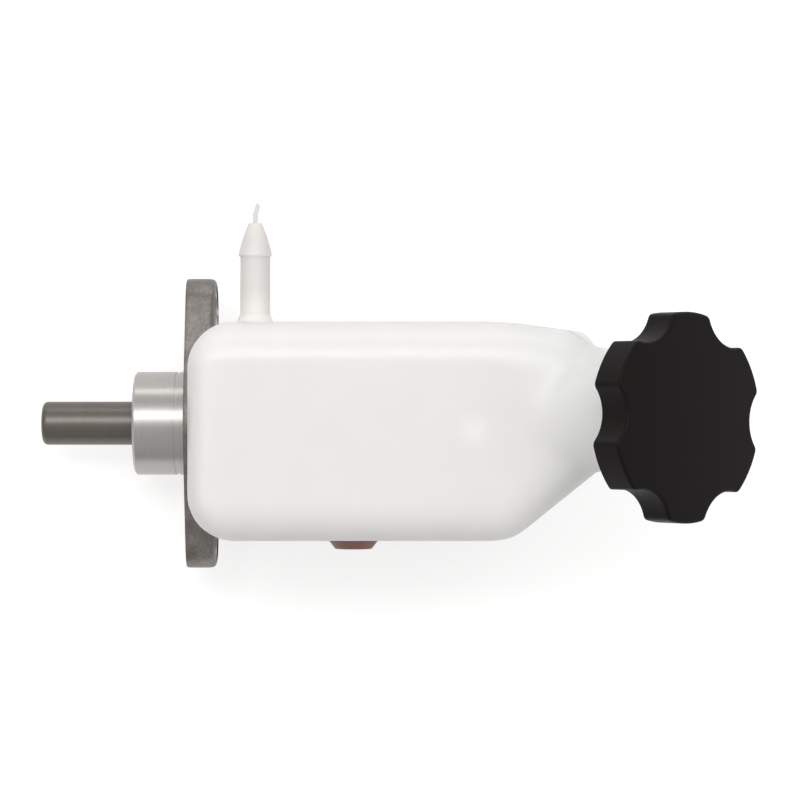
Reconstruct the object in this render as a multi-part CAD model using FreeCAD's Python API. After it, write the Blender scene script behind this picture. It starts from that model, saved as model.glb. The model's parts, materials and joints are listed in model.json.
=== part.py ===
import FreeCAD, Part
import math
import os

# Tandem brake master cylinder with its fluid reservoir, in millimetres.
# The origin is on the bore's axis in the flange's mounting face. +X points along the bore to its
# closed end, +Z points up to the reservoir. The outlets face -Y and the feed nipple faces +Y.

Vector = FreeCAD.Vector
Rotation = FreeCAD.Rotation
Placement = FreeCAD.Placement

# ---- mounting flange and pilot spigot
stud_pitch = 85.0
stud_hole_radius = 4.5
ear_radius = 11.0
flange_half_height = 24.0
ear_thickness = 11.0
flange_crown = 0.9
flange_crown_radius = 28.0
flange_crown_bevel = 5.0
flange_rear_round = 0.8
flange_front_round = 1.8
spot_face_radius = 8.6
spot_face_depth = 0.5
spigot_radius = 19.05
spigot_length = 19.0
spigot_chamfer = 0.8
relief_near_end = 2.4
relief_far_end = 3.9
relief_depth = 0.3

# ---- bore and barrel
bore_radius = 11.9
bore_relief_depth = 0.7
barrel_wall = 8.1
nose_step = 3.0
end_wall = 8.0
nose_round = 5.0
nose_taper_length = 22.0
mouth_step = 2.1
mouth_floor = -6.0
feed_groove_depth = 1.5
rear_feed_length = 7.6
front_feed_length = 9.2
seal_groove_depth = 3.6
seal_groove_length = 6.0
groove_land = 1.4
belly_rib_half_width = 2.5
belly_rib_depth = 3.5
boss_root = 5.0

# ---- strokes
circuit_stroke = 16.0
stroke_reserve = 4.5
seal_setback = 2.0
separator_reserve = 1.5
bore_end_reserve = 6.0

# ---- running and assembly clearances
piston_gap = 0.04
extension_gap = 0.05
seat_gap = 0.1
end_gap = 0.05
overcut = 1.0  # how far a cut runs past the face it opens, and a joined piece into its neighbour

# ---- pistons and springs
extension_radius = 8.0
extension_end = -53.4
extension_round = 2.0
socket_radius = 5.25
socket_length = 26.0
piston_chamfer = 0.6
piston_wall = 3.26
port_hole_radius = 0.6
port_hole_count = 8
port_hole_setback = 2.4
primary_front = 30.0
primary_pocket_depth = 22.0
secondary_rear_pocket_depth = 9.5
secondary_web = 8.0
spring_side_gap = 0.4
spring_wire = 2.0
primary_spring_turns = 8
secondary_spring_turns = 7
screw_thread_radius = 2.5
screw_thread_length = 9.0
screw_shank_radius = 2.4
screw_head_radius = 4.2
screw_head_length = 3.0
screw_slot_depth = 1.2
screw_slot_half_width = 0.6
spring_cup_sheet = 0.9
spring_cup_length = 24.0
spring_cup_inner_radius = 4.6

# ---- guide stack in the spigot's mouth
ring_groove_depth = 0.9
ring_thickness = 1.2
ring_width = 2.6
ring_setback = 1.4
ring_gap_angle = 50.0
ring_eye_radius = 1.9
ring_eye_hole_radius = 0.9
washer_thickness = 1.0
guide_face_thickness = 3.2
rod_seal_radius = 11.1
guide_o_ring_section = 1.5
guide_o_ring_groove = 2.25
lip_thickness = 1.3

# ---- inlets, grommets and reservoir pin
rear_inlet_x = 17.0
front_feed_offset = 4.6
inlet_pocket_radius = 10.5
inlet_wall = 2.5
inlet_boss_top = 31.0
inlet_pocket_depth = 8.8
feed_hole_radius = 2.5
grommet_flange_step = 1.9
grommet_flange_thickness = 2.1
grommet_wall = 2.9
grommet_edge = 0.7
reservoir_spigot_wall = 2.4
reservoir_spigot_length = 10.0
pin_x = 48.0
pin_z = 26.5
pin_radius = 2.0
pin_wall = 0.7
pin_slit = 0.7
lug_half_width = 6.0
lug_half_length = 6.0
lug_cover = 3.2
ear_plate = 4.0
ear_half_length = 5.0

# ---- outlets: distance of each boss face from the bore's axis, and of each drilling from the
# end of its pressure chamber
rear_outlet_face = 44.5
front_outlet_face = 34.5
rear_outlet_setback = 6.5
front_outlet_setback = 3.5
outlet_thread_radius = 4.5
outlet_thread_length = 13.0
outlet_drill_radius = 1.5
outlet_boss_radius = 10.5
outlet_neck_radius = 7.8
outlet_neck_length = 8.5
cap_wall = 1.1
cap_top = 1.7
cap_skirt_length = 8.4
cap_bevel_length = 2.8
cap_bevel_step = 2.2
cap_rim_step = 1.1
cap_rim_length = 1.0

# ---- reservoir: four sides, then the corners of its plan as (x, y, corner radius),
# counter-clockwise from the rear corner on the -Y side. It narrows under the filler neck.
reservoir_rear = 4.1
reservoir_front = 170.0
reservoir_near_side = -40.9
reservoir_far_side = 36.2
reservoir_corner = 16.5
reservoir_plan = [
    (reservoir_rear, reservoir_near_side, reservoir_corner),
    (117.7, reservoir_near_side, 26.0),
    (148.0, -16.4, 2.0),
    (reservoir_front, -14.5, 16.0),
    (reservoir_front, 22.0, 16.0),
    (147.2, 27.6, 2.0),
    (143.6, 32.5, 7.0),
    (115.0, reservoir_far_side, 110.0),
    (reservoir_rear, reservoir_far_side, reservoir_corner),
]
reservoir_floor = 34.0
reservoir_seam = 55.0
reservoir_top = 74.0
reservoir_wall = 2.5
weld_lip = 1.1
weld_lip_height = 1.5
side_shoulder = 13.0
rear_shoulder = 8.0
front_shoulder = 15.0
shoulder_overlap = 0.05
bottom_round = 5.5
baffle_x = 52.0
baffle_thickness = 2.0
baffle_drop = 6.0

# ---- clutch feed nipple, moulded closed
nipple_x = 27.4
nipple_z = 45.0
nipple_radius = 5.3
nipple_barb_radius = 6.0
nipple_barb_lead = 0.4
nipple_tip_radius = 2.3
nipple_barb_y = 59.3
nipple_tip_y = 71.3
nipple_ogive_radius = 4.6
nipple_blind_length = 6.0
nipple_bore_radius = 2.2
nipple_base_radius = 6.3
nipple_base_length = 2.8
nipple_base_chamfer = 2.2
flash_length = 7.3
flash_bend = 2.9
flash_hook = 1.4
flash_width = 1.7
flash_thickness = 0.9

# ---- filler neck: its axis leans forward, and heights along it count from the cap's rim
neck_tilt = 41.5
neck_point = Vector(168.6, 2.65, 88.0)
neck_radius = 18.5
neck_wall = 2.5
neck_height = 5.6
neck_root_depth = 44.0
neck_flare_depth = 20.0
neck_flare_curve = 37.0
neck_foot_setback = 0.5
thread_pitch = 4.0
thread_depth = 1.5
thread_base = 1.4
thread_crest = 0.8
thread_root_overlap = 0.4
neck_thread_start = 0.9
neck_thread_turns = 0.92
cap_thread_start = 1.4
cap_thread_turns = 1.0
thread_gap = 0.4

# ---- filler cap
lobe_count = 6
cap_radius = 35.7
notch_radius = 13.0
notch_centre = 43.3
lobe_corner_radius = 2.4
lobe_inner_corner = 0.8
lobe_turn = -2.0
filler_cap_height = 11.5
filler_cap_crown = 1.3
filler_cap_round = 1.1
filler_cap_shell = 2.2
socket_wall = 2.2
socket_setback = 0.6
cap_rib_thickness = 1.8
cap_rib_setback = 2.5
cap_rib_overlap = 0.5
gasket_thickness = 1.6
gasket_overhang = 1.0
gasket_hole_radius = 12.0
strainer_flange = 0.8
strainer_depth = 20.0
strainer_wall = 1.0
strainer_slots = 8
strainer_slot_width = 7.0
strainer_rim = 3.0
strainer_hole_radius = 1.6
strainer_rings = ((0.0, 1), (5.0, 6), (10.0, 12))  # radius and number of holes

# ---- level float and switch
float_setback = 24.0
float_y = -2.0
float_radius = 10.0
float_height = 9.0
float_travel = 14.0
float_post_radius = 2.8
float_gap = 0.4
float_foot = 0.6
float_edge = 0.8
float_post_setback = 1.0
float_stop_gap = 1.4
float_stop_wall = 1.7
magnet_radius = 7.0
magnet_height = 3.0
magnet_sleeve = 0.8
switch_z = 29.5
switch_radius = 4.1
switch_tube_wall = 1.5
switch_length = 34.0
switch_mouth_y = -31.5
switch_tube_end = 2.0
plug_half_width = 8.0
plug_half_height = 4.2
plug_length = 8.4
plug_wall = 1.4
plug_floor = 2.0
plug_round = 1.6
contact_side = 0.8
contact_length = 4.6
contact_offset = 3.2
contact_root = 1.0

# ---- values worked out from the ones above
piston_radius = bore_radius - piston_gap
relieved_bore_radius = bore_radius + bore_relief_depth
feed_groove_radius = bore_radius + feed_groove_depth
seal_groove_radius = bore_radius + seal_groove_depth
mouth_radius = bore_radius + mouth_step
barrel_radius = bore_radius + barrel_wall
nose_radius = barrel_radius - nose_step
pocket_radius = piston_radius - piston_wall
spring_radius = pocket_radius - spring_side_gap
primary_stroke = 2 * circuit_stroke
primary_seal_start = primary_front - seal_setback - seal_groove_length
primary_hole_x = primary_seal_start - port_hole_setback
primary_rear = mouth_floor
primary_pocket_floor = primary_front - primary_pocket_depth
secondary_rear = primary_front + circuit_stroke + stroke_reserve
separator_start = primary_front + primary_stroke + stroke_reserve + separator_reserve
front_feed_start = separator_start + seal_groove_length + groove_land
secondary_seal_start = front_feed_start + front_feed_length + groove_land
secondary_front = secondary_seal_start + seal_groove_length + seal_setback
secondary_hole_x = secondary_seal_start - port_hole_setback
bore_end = secondary_front + circuit_stroke + bore_end_reserve
nose_x = bore_end + end_wall
secondary_rear_pocket_floor = secondary_rear + secondary_rear_pocket_depth
secondary_front_pocket_floor = secondary_rear_pocket_floor + secondary_web
ring_front = -spigot_length + ring_setback + ring_thickness
washer_front = ring_front + end_gap + washer_thickness
guide_rear = washer_front + end_gap
guide_front = mouth_floor - end_gap
guide_pocket_floor = guide_front - guide_face_thickness
guide_radius = mouth_radius - seat_gap
inlet_pocket_floor = inlet_boss_top - inlet_pocket_depth
inlet_boss_radius = inlet_pocket_radius + inlet_wall
front_inlet_x = front_feed_start + front_feed_offset
inlets = (rear_inlet_x, front_inlet_x)
float_x = front_inlet_x + float_setback
float_low = reservoir_floor + reservoir_wall + float_foot
grommet_flange_radius = inlet_pocket_radius + grommet_flange_step
reservoir_spigot_radius = inlet_pocket_radius - 2 * seat_gap - grommet_wall
reservoir_spigot_bore = reservoir_spigot_radius - reservoir_spigot_wall
rear_outlet = (separator_start - rear_outlet_setback, rear_outlet_face)
front_outlet = (bore_end - front_outlet_setback, front_outlet_face)
outlets = (rear_outlet, front_outlet)
neck_inner_radius = neck_radius - neck_wall
neck_top = neck_height
strainer_top = neck_top + strainer_flange
gasket_top = strainer_top + gasket_thickness
socket_radius_of_cap = neck_radius + thread_depth + thread_gap

# ---- placements that turn a piece made along +Z onto its own axis
along_bore = Placement(Vector(0, 0, 0), Rotation(Vector(0, 1, 0), 90))
along_neck = Placement(neck_point, Rotation(Vector(0, 1, 0), neck_tilt))


def upright(x, y=0.0):
    return Placement(Vector(x, y, 0), Rotation())


def towards_minus_y(x, z=0.0):
    return Placement(Vector(x, 0, z), Rotation(Vector(1, 0, 0), 90))


def towards_plus_y(x, z=0.0):
    return Placement(Vector(x, 0, z), Rotation(Vector(1, 0, 0), -90))


def turned(profile, place):
    """Solid of revolution. Each profile entry is (height, radius), or for an arc
    (height and radius of a point on it, then height and radius of its end)."""
    start = Vector(profile[0][1], 0, profile[0][0])
    here = start
    edges = []
    for entry in profile[1:]:
        end = Vector(entry[-1], 0, entry[-2])
        if len(entry) == 4:
            middle = Vector(entry[1], 0, entry[0])
            edges.append(Part.Arc(here, middle, end).toShape())
        else:
            edges.append(Part.makeLine(here, end))
        here = end
    edges.append(Part.makeLine(here, start))
    face = Part.Face(Part.Wire(edges))
    solid = face.revolve(Vector(0, 0, 0), Vector(0, 0, 1), 360)
    return placed(solid, place)


def placed(shape, place):
    moved = shape.copy()
    moved.Placement = place.multiply(moved.Placement)
    return moved


def rod(radius, low, high, place):
    return turned([(low, 0), (low, radius), (high, radius), (high, 0)], place)


def tube(outer, inner, low, high, place):
    return turned([(low, inner), (low, outer), (high, outer), (high, inner)], place)


def block(low, high):
    size = Vector(*high) - Vector(*low)
    return Part.makeBox(size.x, size.y, size.z, Vector(*low))


def near(value, target, margin=0.01):
    return abs(value - target) < margin


def flat_edges(shape, axis, position):
    """Edges that lie in the plane where the axis ("X", "Y" or "Z") has this value."""
    low, high = axis + "Min", axis + "Max"
    return [
        edge
        for edge in shape.Edges
        if near(getattr(edge.BoundBox, low), position)
        and near(getattr(edge.BoundBox, high), position)
    ]


def rounded_plan(corners, inset, z):
    """Closed wire through the corners, each rounded by its own radius, moved inwards by inset."""
    count = len(corners)
    points = [Vector(x, y, z) for x, y, radius in corners]
    moved = []
    radii = []
    for i in range(count):
        before = (points[i] - points[i - 1]).normalize()
        after = (points[(i + 1) % count] - points[i]).normalize()
        turn = before.cross(after).z
        half = math.atan2(turn, before.dot(after)) / 2
        inwards = Vector(-(before + after).y, (before + after).x, 0).normalize()
        moved.append(points[i] + inwards * (inset / math.cos(half)))
        radii.append(corners[i][2] - inset if turn > 0 else corners[i][2] + inset)
    edges = []
    previous = None
    first = None
    for i in range(count):
        before = (moved[i] - moved[i - 1]).normalize()
        after = (moved[(i + 1) % count] - moved[i]).normalize()
        half = abs(math.atan2(before.cross(after).z, before.dot(after))) / 2
        reach = radii[i] * math.tan(half)
        start = moved[i] - before * reach
        end = moved[i] + after * reach
        sagitta = radii[i] * (1 / math.cos(half) - 1)
        middle = moved[i] + (after - before).normalize() * sagitta
        if previous is not None:
            edges.append(Part.makeLine(previous, start))
        else:
            first = start
        edges.append(Part.Arc(start, middle, end).toShape())
        previous = end
    edges.append(Part.makeLine(previous, first))
    return Part.Wire(edges)


def plan_slab(inset, low, high):
    face = Part.Face(rounded_plan(reservoir_plan, inset, low))
    return face.extrude(Vector(0, 0, high - low))


def lip_seal(outer, inner, low, high, opens_forward):
    """Cup seal ring with a notch between its two lips, on the side that holds the pressure."""
    root = (outer + inner) / 2
    depth = (high - low) * 0.5
    if opens_forward:
        notch = [(high, outer - lip_thickness), (high - depth, root), (high, inner + lip_thickness)]
        profile = [(low, inner), (low, outer), (high, outer)] + notch + [(high, inner)]
    else:
        notch = [(low, inner + lip_thickness), (low + depth, root), (low, outer - lip_thickness)]
        profile = [(high, outer), (high, inner), (low, inner)] + notch + [(low, outer)]
    return turned(profile, along_bore)


def coil_spring(low, high, turns):
    wire_radius = spring_wire / 2
    mean = spring_radius - wire_radius
    height = high - low - spring_wire
    helix = Part.makeHelix(height / turns, height, mean)
    section = Part.Wire(Part.makeCircle(wire_radius, Vector(mean, 0, 0), Vector(0, 1, 0)))
    coil = Part.Wire(helix.Edges).makePipeShell([section], True, True)
    coil.translate(Vector(0, 0, low + wire_radius))
    return placed(coil, along_bore)


def helical_ridge(root, crest, start, turns, begin_angle):
    """Thread ridge with a trapezoid section, from the root radius to the crest radius."""
    helix = Part.makeHelix(thread_pitch, thread_pitch * turns, root)
    half_base = thread_base / 2
    half_crest = thread_crest / 2
    corners = [
        Vector(root, 0, -half_base),
        Vector(crest, 0, -half_crest),
        Vector(crest, 0, half_crest),
        Vector(root, 0, half_base),
    ]
    section = Part.makePolygon(corners + [corners[0]])
    ridge = Part.Wire(helix.Edges).makePipeShell([section], True, True)
    ridge.rotate(Vector(0, 0, 0), Vector(0, 0, 1), begin_angle)
    ridge.translate(Vector(0, 0, start))
    return placed(ridge, along_neck)


def lozenge(low, high):
    """Two round ears and a round middle, joined by their tangents, along the bore's axis."""
    reach = stud_pitch / 2
    lean = math.acos((flange_half_height - ear_radius) / reach)
    middle_y = flange_half_height * math.cos(lean)
    middle_z = flange_half_height * math.sin(lean)
    ear_y = reach + ear_radius * math.cos(lean)
    ear_z = ear_radius * math.sin(lean)
    tip = reach + ear_radius

    def at(y, z):
        return Vector(low, y, z)

    edges = [
        Part.Arc(at(ear_y, -ear_z), at(tip, 0), at(ear_y, ear_z)).toShape(),
        Part.makeLine(at(ear_y, ear_z), at(middle_y, middle_z)),
        Part.Arc(at(middle_y, middle_z), at(0, flange_half_height), at(-middle_y, middle_z)).toShape(),
        Part.makeLine(at(-middle_y, middle_z), at(-ear_y, ear_z)),
        Part.Arc(at(-ear_y, ear_z), at(-tip, 0), at(-ear_y, -ear_z)).toShape(),
        Part.makeLine(at(-ear_y, -ear_z), at(-middle_y, -middle_z)),
        Part.Arc(at(-middle_y, -middle_z), at(0, -flange_half_height), at(middle_y, -middle_z)).toShape(),
        Part.makeLine(at(middle_y, -middle_z), at(ear_y, -ear_z)),
    ]
    return Part.Face(Part.Wire(edges)).extrude(Vector(high - low, 0, 0))


def flange():
    crown_face = ear_thickness + flange_crown
    plate = lozenge(0, ear_thickness)
    plate = plate.makeFillet(flange_front_round, flat_edges(plate, "X", ear_thickness))
    plate = plate.makeFillet(flange_rear_round, flat_edges(plate, "X", 0))
    crown = turned(
        [(0, 0), (0, flange_crown_radius), (ear_thickness, flange_crown_radius),
         (crown_face, flange_crown_radius - flange_crown_bevel), (crown_face, 0)],
        along_bore,
    )
    plate = plate.fuse(crown.common(lozenge(0, crown_face)))
    for side in (-1, 1):
        stud_axis = Placement(Vector(0, side * stud_pitch / 2, 0), Rotation(Vector(0, 1, 0), 90))
        plate = plate.cut(rod(stud_hole_radius, -overcut, crown_face + overcut, stud_axis))
        face_x = ear_thickness - spot_face_depth
        plate = plate.cut(rod(spot_face_radius, face_x, crown_face + overcut, stud_axis))
    return plate


def barrel():
    taper_x = nose_x - nose_taper_length
    body = turned(
        [(0, 0), (0, barrel_radius), (taper_x, barrel_radius), (nose_x, nose_radius), (nose_x, 0)],
        along_bore,
    )
    body = body.makeFillet(nose_round, flat_edges(body, "X", nose_x))
    spigot = turned(
        [(-spigot_length, 0), (-spigot_length, spigot_radius - spigot_chamfer),
         (-spigot_length + spigot_chamfer, spigot_radius), (-relief_far_end, spigot_radius),
         (-relief_far_end, spigot_radius - relief_depth), (-relief_near_end, spigot_radius - relief_depth),
         (-relief_near_end, spigot_radius), (overcut, spigot_radius), (overcut, 0)],
        along_bore,
    )
    rib_low = -barrel_radius - belly_rib_depth
    rib = block((overcut, -belly_rib_half_width, rib_low), (taper_x, belly_rib_half_width, 0))
    return body.fuse([spigot, rib])


def bosses():
    parts = []
    for x in inlets:
        parts.append(rod(inlet_boss_radius, boss_root, inlet_boss_top, upright(x)))
    for x, face in outlets:
        place = towards_minus_y(x)
        parts.append(rod(outlet_boss_radius, boss_root, face - outlet_neck_length, place))
        parts.append(rod(outlet_neck_radius, boss_root, face, place))
    lug_top = pin_z + pin_radius + lug_cover
    parts.append(block((pin_x - lug_half_length, -lug_half_width, boss_root),
                       (pin_x + lug_half_length, lug_half_width, lug_top)))
    return parts


def bore():
    """Everything bored from the mouth: guide seat, ring groove, seal and feed grooves, reliefs."""
    groove_low = -spigot_length + ring_setback - end_gap
    groove_high = ring_front + end_gap
    rear_feed_end = primary_seal_start - groove_land
    primary_seal_end = primary_seal_start + seal_groove_length
    separator_end = separator_start + seal_groove_length
    secondary_seal_end = secondary_seal_start + seal_groove_length
    steps = [
        (mouth_radius, -spigot_length, mouth_floor),
        (mouth_radius + ring_groove_depth, groove_low, groove_high),
        (bore_radius, mouth_floor, bore_end),
        (feed_groove_radius, rear_feed_end - rear_feed_length, rear_feed_end),
        (seal_groove_radius, primary_seal_start, primary_seal_end),
        (relieved_bore_radius, primary_seal_end + groove_land, separator_start - groove_land),
        (seal_groove_radius, separator_start, separator_end),
        (feed_groove_radius, front_feed_start, secondary_seal_start - groove_land),
        (seal_groove_radius, secondary_seal_start, secondary_seal_end),
        (relieved_bore_radius, secondary_seal_end + groove_land, bore_end),
    ]
    return [rod(radius, low, high, along_bore) for radius, low, high in steps]


def cylinder_body():
    body = barrel().fuse([flange()] + bosses())
    cuts = bore()
    for x in inlets:
        cuts.append(rod(inlet_pocket_radius, inlet_pocket_floor, inlet_boss_top + overcut, upright(x)))
        cuts.append(rod(feed_hole_radius, bore_radius - overcut, inlet_pocket_floor + overcut, upright(x)))
    for x, face in outlets:
        place = towards_minus_y(x)
        cuts.append(rod(outlet_thread_radius, face - outlet_thread_length, face + overcut, place))
        cuts.append(rod(outlet_drill_radius, bore_radius - overcut, face, place))
    lug_side = lug_half_width + overcut
    cuts.append(rod(pin_radius + seat_gap, -lug_side, lug_side, towards_plus_y(pin_x, pin_z)))
    for cut in cuts:
        body = body.cut(cut)
    return body.removeSplitter()


def piston_holes(x):
    """Ring of small radial holes that open the pocket to the feed groove at rest."""
    holes = []
    for i in range(port_hole_count):
        hole = rod(port_hole_radius, pocket_radius - overcut, piston_radius + overcut, upright(x))
        hole.rotate(Vector(0, 0, 0), Vector(1, 0, 0), 360.0 * i / port_hole_count)
        holes.append(hole)
    return holes


def primary_piston():
    body = turned(
        [(extension_end, 0), (extension_end, extension_radius), (primary_rear, extension_radius),
         (primary_rear, piston_radius - piston_chamfer), (primary_rear + piston_chamfer, piston_radius),
         (primary_front - piston_chamfer, piston_radius), (primary_front, piston_radius - piston_chamfer),
         (primary_front, pocket_radius), (primary_pocket_floor, pocket_radius), (primary_pocket_floor, 0)],
        along_bore,
    )
    body = body.makeFillet(extension_round, flat_edges(body, "X", extension_end))
    socket_floor = extension_end + socket_length
    socket_mouth = extension_end - overcut
    socket = turned(
        [(socket_mouth, 0), (socket_mouth, socket_radius), (socket_floor, socket_radius),
         (socket_floor + socket_radius * math.sin(math.pi / 4), socket_radius * math.cos(math.pi / 4),
          socket_floor + socket_radius, 0)],
        along_bore,
    )
    hole = rod(screw_thread_radius + end_gap, primary_pocket_floor - screw_thread_length - overcut,
               primary_pocket_floor + overcut, along_bore)
    return body.cut([socket, hole] + piston_holes(primary_hole_x))


def secondary_piston():
    body = turned(
        [(secondary_rear_pocket_floor, 0), (secondary_rear_pocket_floor, pocket_radius),
         (secondary_rear, pocket_radius), (secondary_rear, piston_radius - piston_chamfer),
         (secondary_rear + piston_chamfer, piston_radius), (secondary_front - piston_chamfer, piston_radius),
         (secondary_front, piston_radius - piston_chamfer), (secondary_front, pocket_radius),
         (secondary_front_pocket_floor, pocket_radius), (secondary_front_pocket_floor, 0)],
        along_bore,
    )
    return body.cut(piston_holes(secondary_hole_x))


def primary_spring_cup():
    flange_front = secondary_rear_pocket_floor - end_gap
    flange_rear = flange_front - spring_cup_sheet
    tip = flange_front - spring_cup_length
    outer = spring_cup_inner_radius + spring_cup_sheet
    inner = spring_cup_inner_radius
    rim = pocket_radius - 2 * seat_gap
    hole = screw_shank_radius + 2 * seat_gap
    return turned(
        [(flange_front, inner), (flange_front, rim), (flange_rear, rim), (flange_rear, outer), (tip, outer),
         (tip, hole), (tip + spring_cup_sheet, hole), (tip + spring_cup_sheet, inner)],
        along_bore,
    )


def primary_spring_screw():
    cup_tip = secondary_rear_pocket_floor - end_gap - spring_cup_length
    head_rear = cup_tip + spring_cup_sheet + end_gap
    head_front = head_rear + screw_head_length
    thread_end = primary_pocket_floor - screw_thread_length
    body = turned(
        [(thread_end, 0), (thread_end, screw_thread_radius), (primary_pocket_floor, screw_thread_radius),
         (primary_pocket_floor, screw_shank_radius), (head_rear, screw_shank_radius),
         (head_rear, screw_head_radius), (head_front, screw_head_radius), (head_front, 0)],
        along_bore,
    )
    across = screw_head_radius + overcut
    slot = block((head_front - screw_slot_depth, -across, -screw_slot_half_width),
                 (head_front + overcut, across, screw_slot_half_width))
    return body.cut(slot)


def primary_spring():
    cup_face = secondary_rear_pocket_floor - end_gap - spring_cup_sheet
    return coil_spring(primary_pocket_floor + end_gap, cup_face - end_gap, primary_spring_turns)


def secondary_spring():
    low = secondary_front_pocket_floor + end_gap
    return coil_spring(low, bore_end - end_gap, secondary_spring_turns)


def bore_seal(start, opens_forward):
    outer = seal_groove_radius - seat_gap
    low = start + seat_gap
    high = start + seal_groove_length - seat_gap
    return lip_seal(outer, bore_radius, low, high, opens_forward)


def guide_bush():
    inner = extension_radius + extension_gap
    pocket = rod_seal_radius + seat_gap
    groove_centre = (guide_rear + guide_pocket_floor) / 2
    groove_low = groove_centre - guide_o_ring_groove / 2
    groove_high = groove_centre + guide_o_ring_groove / 2
    groove_floor = guide_radius - guide_o_ring_section
    return turned(
        [(guide_front, inner), (guide_pocket_floor, inner), (guide_pocket_floor, pocket),
         (guide_rear, pocket), (guide_rear, guide_radius), (groove_low, guide_radius),
         (groove_low, groove_floor), (groove_high, groove_floor), (groove_high, guide_radius),
         (guide_front, guide_radius)],
        along_bore,
    )


def guide_o_ring():
    section = guide_o_ring_section / 2 - end_gap / 2
    mean = guide_radius - guide_o_ring_section / 2
    groove_centre = (guide_rear + guide_pocket_floor) / 2
    ring = Part.makeTorus(mean, section)
    ring.translate(Vector(0, 0, groove_centre))
    return placed(ring, along_bore)


def rod_seal():
    low = guide_rear + seat_gap
    high = guide_pocket_floor - seat_gap
    return lip_seal(rod_seal_radius, extension_radius + extension_gap, low, high, True)


def stop_washer():
    low = ring_front + end_gap
    return tube(guide_radius, extension_radius + 4 * seat_gap, low, washer_front, along_bore)


def retaining_ring():
    """Internal snap ring, open at the top between two eyes for the pliers."""
    outer = mouth_radius + ring_groove_depth - seat_gap
    low = ring_front - ring_thickness
    ring = tube(outer, outer - ring_width, low, ring_front, along_bore)
    reach = outer + overcut
    half = math.radians(ring_gap_angle / 2)
    start = low - overcut
    gap = Part.makePolygon([
        Vector(start, 0, 0),
        Vector(start, -reach * math.sin(half), reach * math.cos(half)),
        Vector(start, 0, reach / math.cos(half)),
        Vector(start, reach * math.sin(half), reach * math.cos(half)),
        Vector(start, 0, 0),
    ])
    ring = ring.cut(Part.Face(gap).extrude(Vector(ring_thickness + 2 * overcut, 0, 0)))
    eye_distance = outer - ring_eye_radius - 2 * seat_gap
    for side in (-1, 1):
        angle = half + math.asin(ring_eye_radius / eye_distance)
        centre = Vector(0, side * eye_distance * math.sin(angle), eye_distance * math.cos(angle))
        place = Placement(centre, Rotation(Vector(0, 1, 0), 90))
        ring = ring.fuse(rod(ring_eye_radius, low, ring_front, place))
        ring = ring.cut(rod(ring_eye_hole_radius, low - overcut, ring_front + overcut, place))
    return ring.removeSplitter()


def inlet_grommet(x):
    outer = inlet_pocket_radius - seat_gap
    inner = reservoir_spigot_radius + seat_gap
    low = inlet_pocket_floor + end_gap
    seat = inlet_boss_top + end_gap
    top = seat + grommet_flange_thickness
    edge = grommet_edge
    third = (seat - low) / 3
    return turned(
        [(low, inner), (low, outer - edge), (low + edge, outer), (low + third, outer),
         (low + third + edge, outer - edge), (low + 2 * third - edge, outer - edge),
         (low + 2 * third, outer), (seat, outer), (seat, grommet_flange_radius),
         (top - edge, grommet_flange_radius), (top, grommet_flange_radius - edge), (top, inner)],
        upright(x),
    )


def reservoir_pin():
    half = lug_half_width + ear_plate + 4 * seat_gap
    pin = tube(pin_radius, pin_radius - pin_wall, -half, half, towards_plus_y(pin_x, pin_z))
    slit = block((pin_x - pin_slit / 2, -half - overcut, pin_z),
                 (pin_x + pin_slit / 2, half + overcut, pin_z + pin_radius + overcut))
    return pin.cut(slit)


def transit_cap(x, face):
    """Push-on cap that covers an outlet's boss and leaves its thread free."""
    inner = outlet_neck_radius + seat_gap
    outer = inner + cap_wall
    rim = outer + cap_rim_step
    ceiling = face + 2 * seat_gap
    top = ceiling + cap_top
    mouth = face - cap_skirt_length + 2 * seat_gap
    return turned(
        [(mouth, inner), (mouth, rim), (mouth + cap_rim_length, rim), (mouth + cap_rim_length, outer),
         (top - cap_bevel_length, outer), (top, outer - cap_bevel_step), (top, 0), (ceiling, 0),
         (ceiling, inner)],
        towards_minus_y(x),
    )


def nipple():
    root = reservoir_far_side - weld_lip - reservoir_wall
    base_end = reservoir_far_side + nipple_base_length
    ogive_middle = (nipple_barb_y + nipple_tip_y) / 2
    return turned(
        [(root, 0), (root, nipple_base_radius), (base_end - nipple_base_chamfer, nipple_base_radius),
         (base_end, nipple_radius), (nipple_barb_y, nipple_radius),
         (nipple_barb_y + nipple_barb_lead, nipple_barb_radius),
         (ogive_middle, nipple_ogive_radius, nipple_tip_y, nipple_tip_radius), (nipple_tip_y, 0)],
        towards_plus_y(nipple_x, nipple_z),
    )


def nipple_flash():
    """Thin moulding flash left on the nipple's closed tip, with its end hooked forward."""
    half = flash_width / 2
    side = flash_thickness / 2
    low = nipple_tip_y - overcut
    bend = nipple_tip_y + flash_bend
    end = nipple_tip_y + flash_length
    outline = Part.makePolygon([
        Vector(nipple_x - half, low, nipple_z - side),
        Vector(nipple_x + half, low, nipple_z - side),
        Vector(nipple_x + half, bend, nipple_z - side),
        Vector(nipple_x + flash_width, end - flash_hook, nipple_z - side),
        Vector(nipple_x + half, end, nipple_z - side),
        Vector(nipple_x, end - flash_hook, nipple_z - side),
        Vector(nipple_x - half, bend, nipple_z - side),
        Vector(nipple_x - half, low, nipple_z - side),
    ])
    return Part.Face(outline).extrude(Vector(0, 0, flash_thickness))


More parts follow.
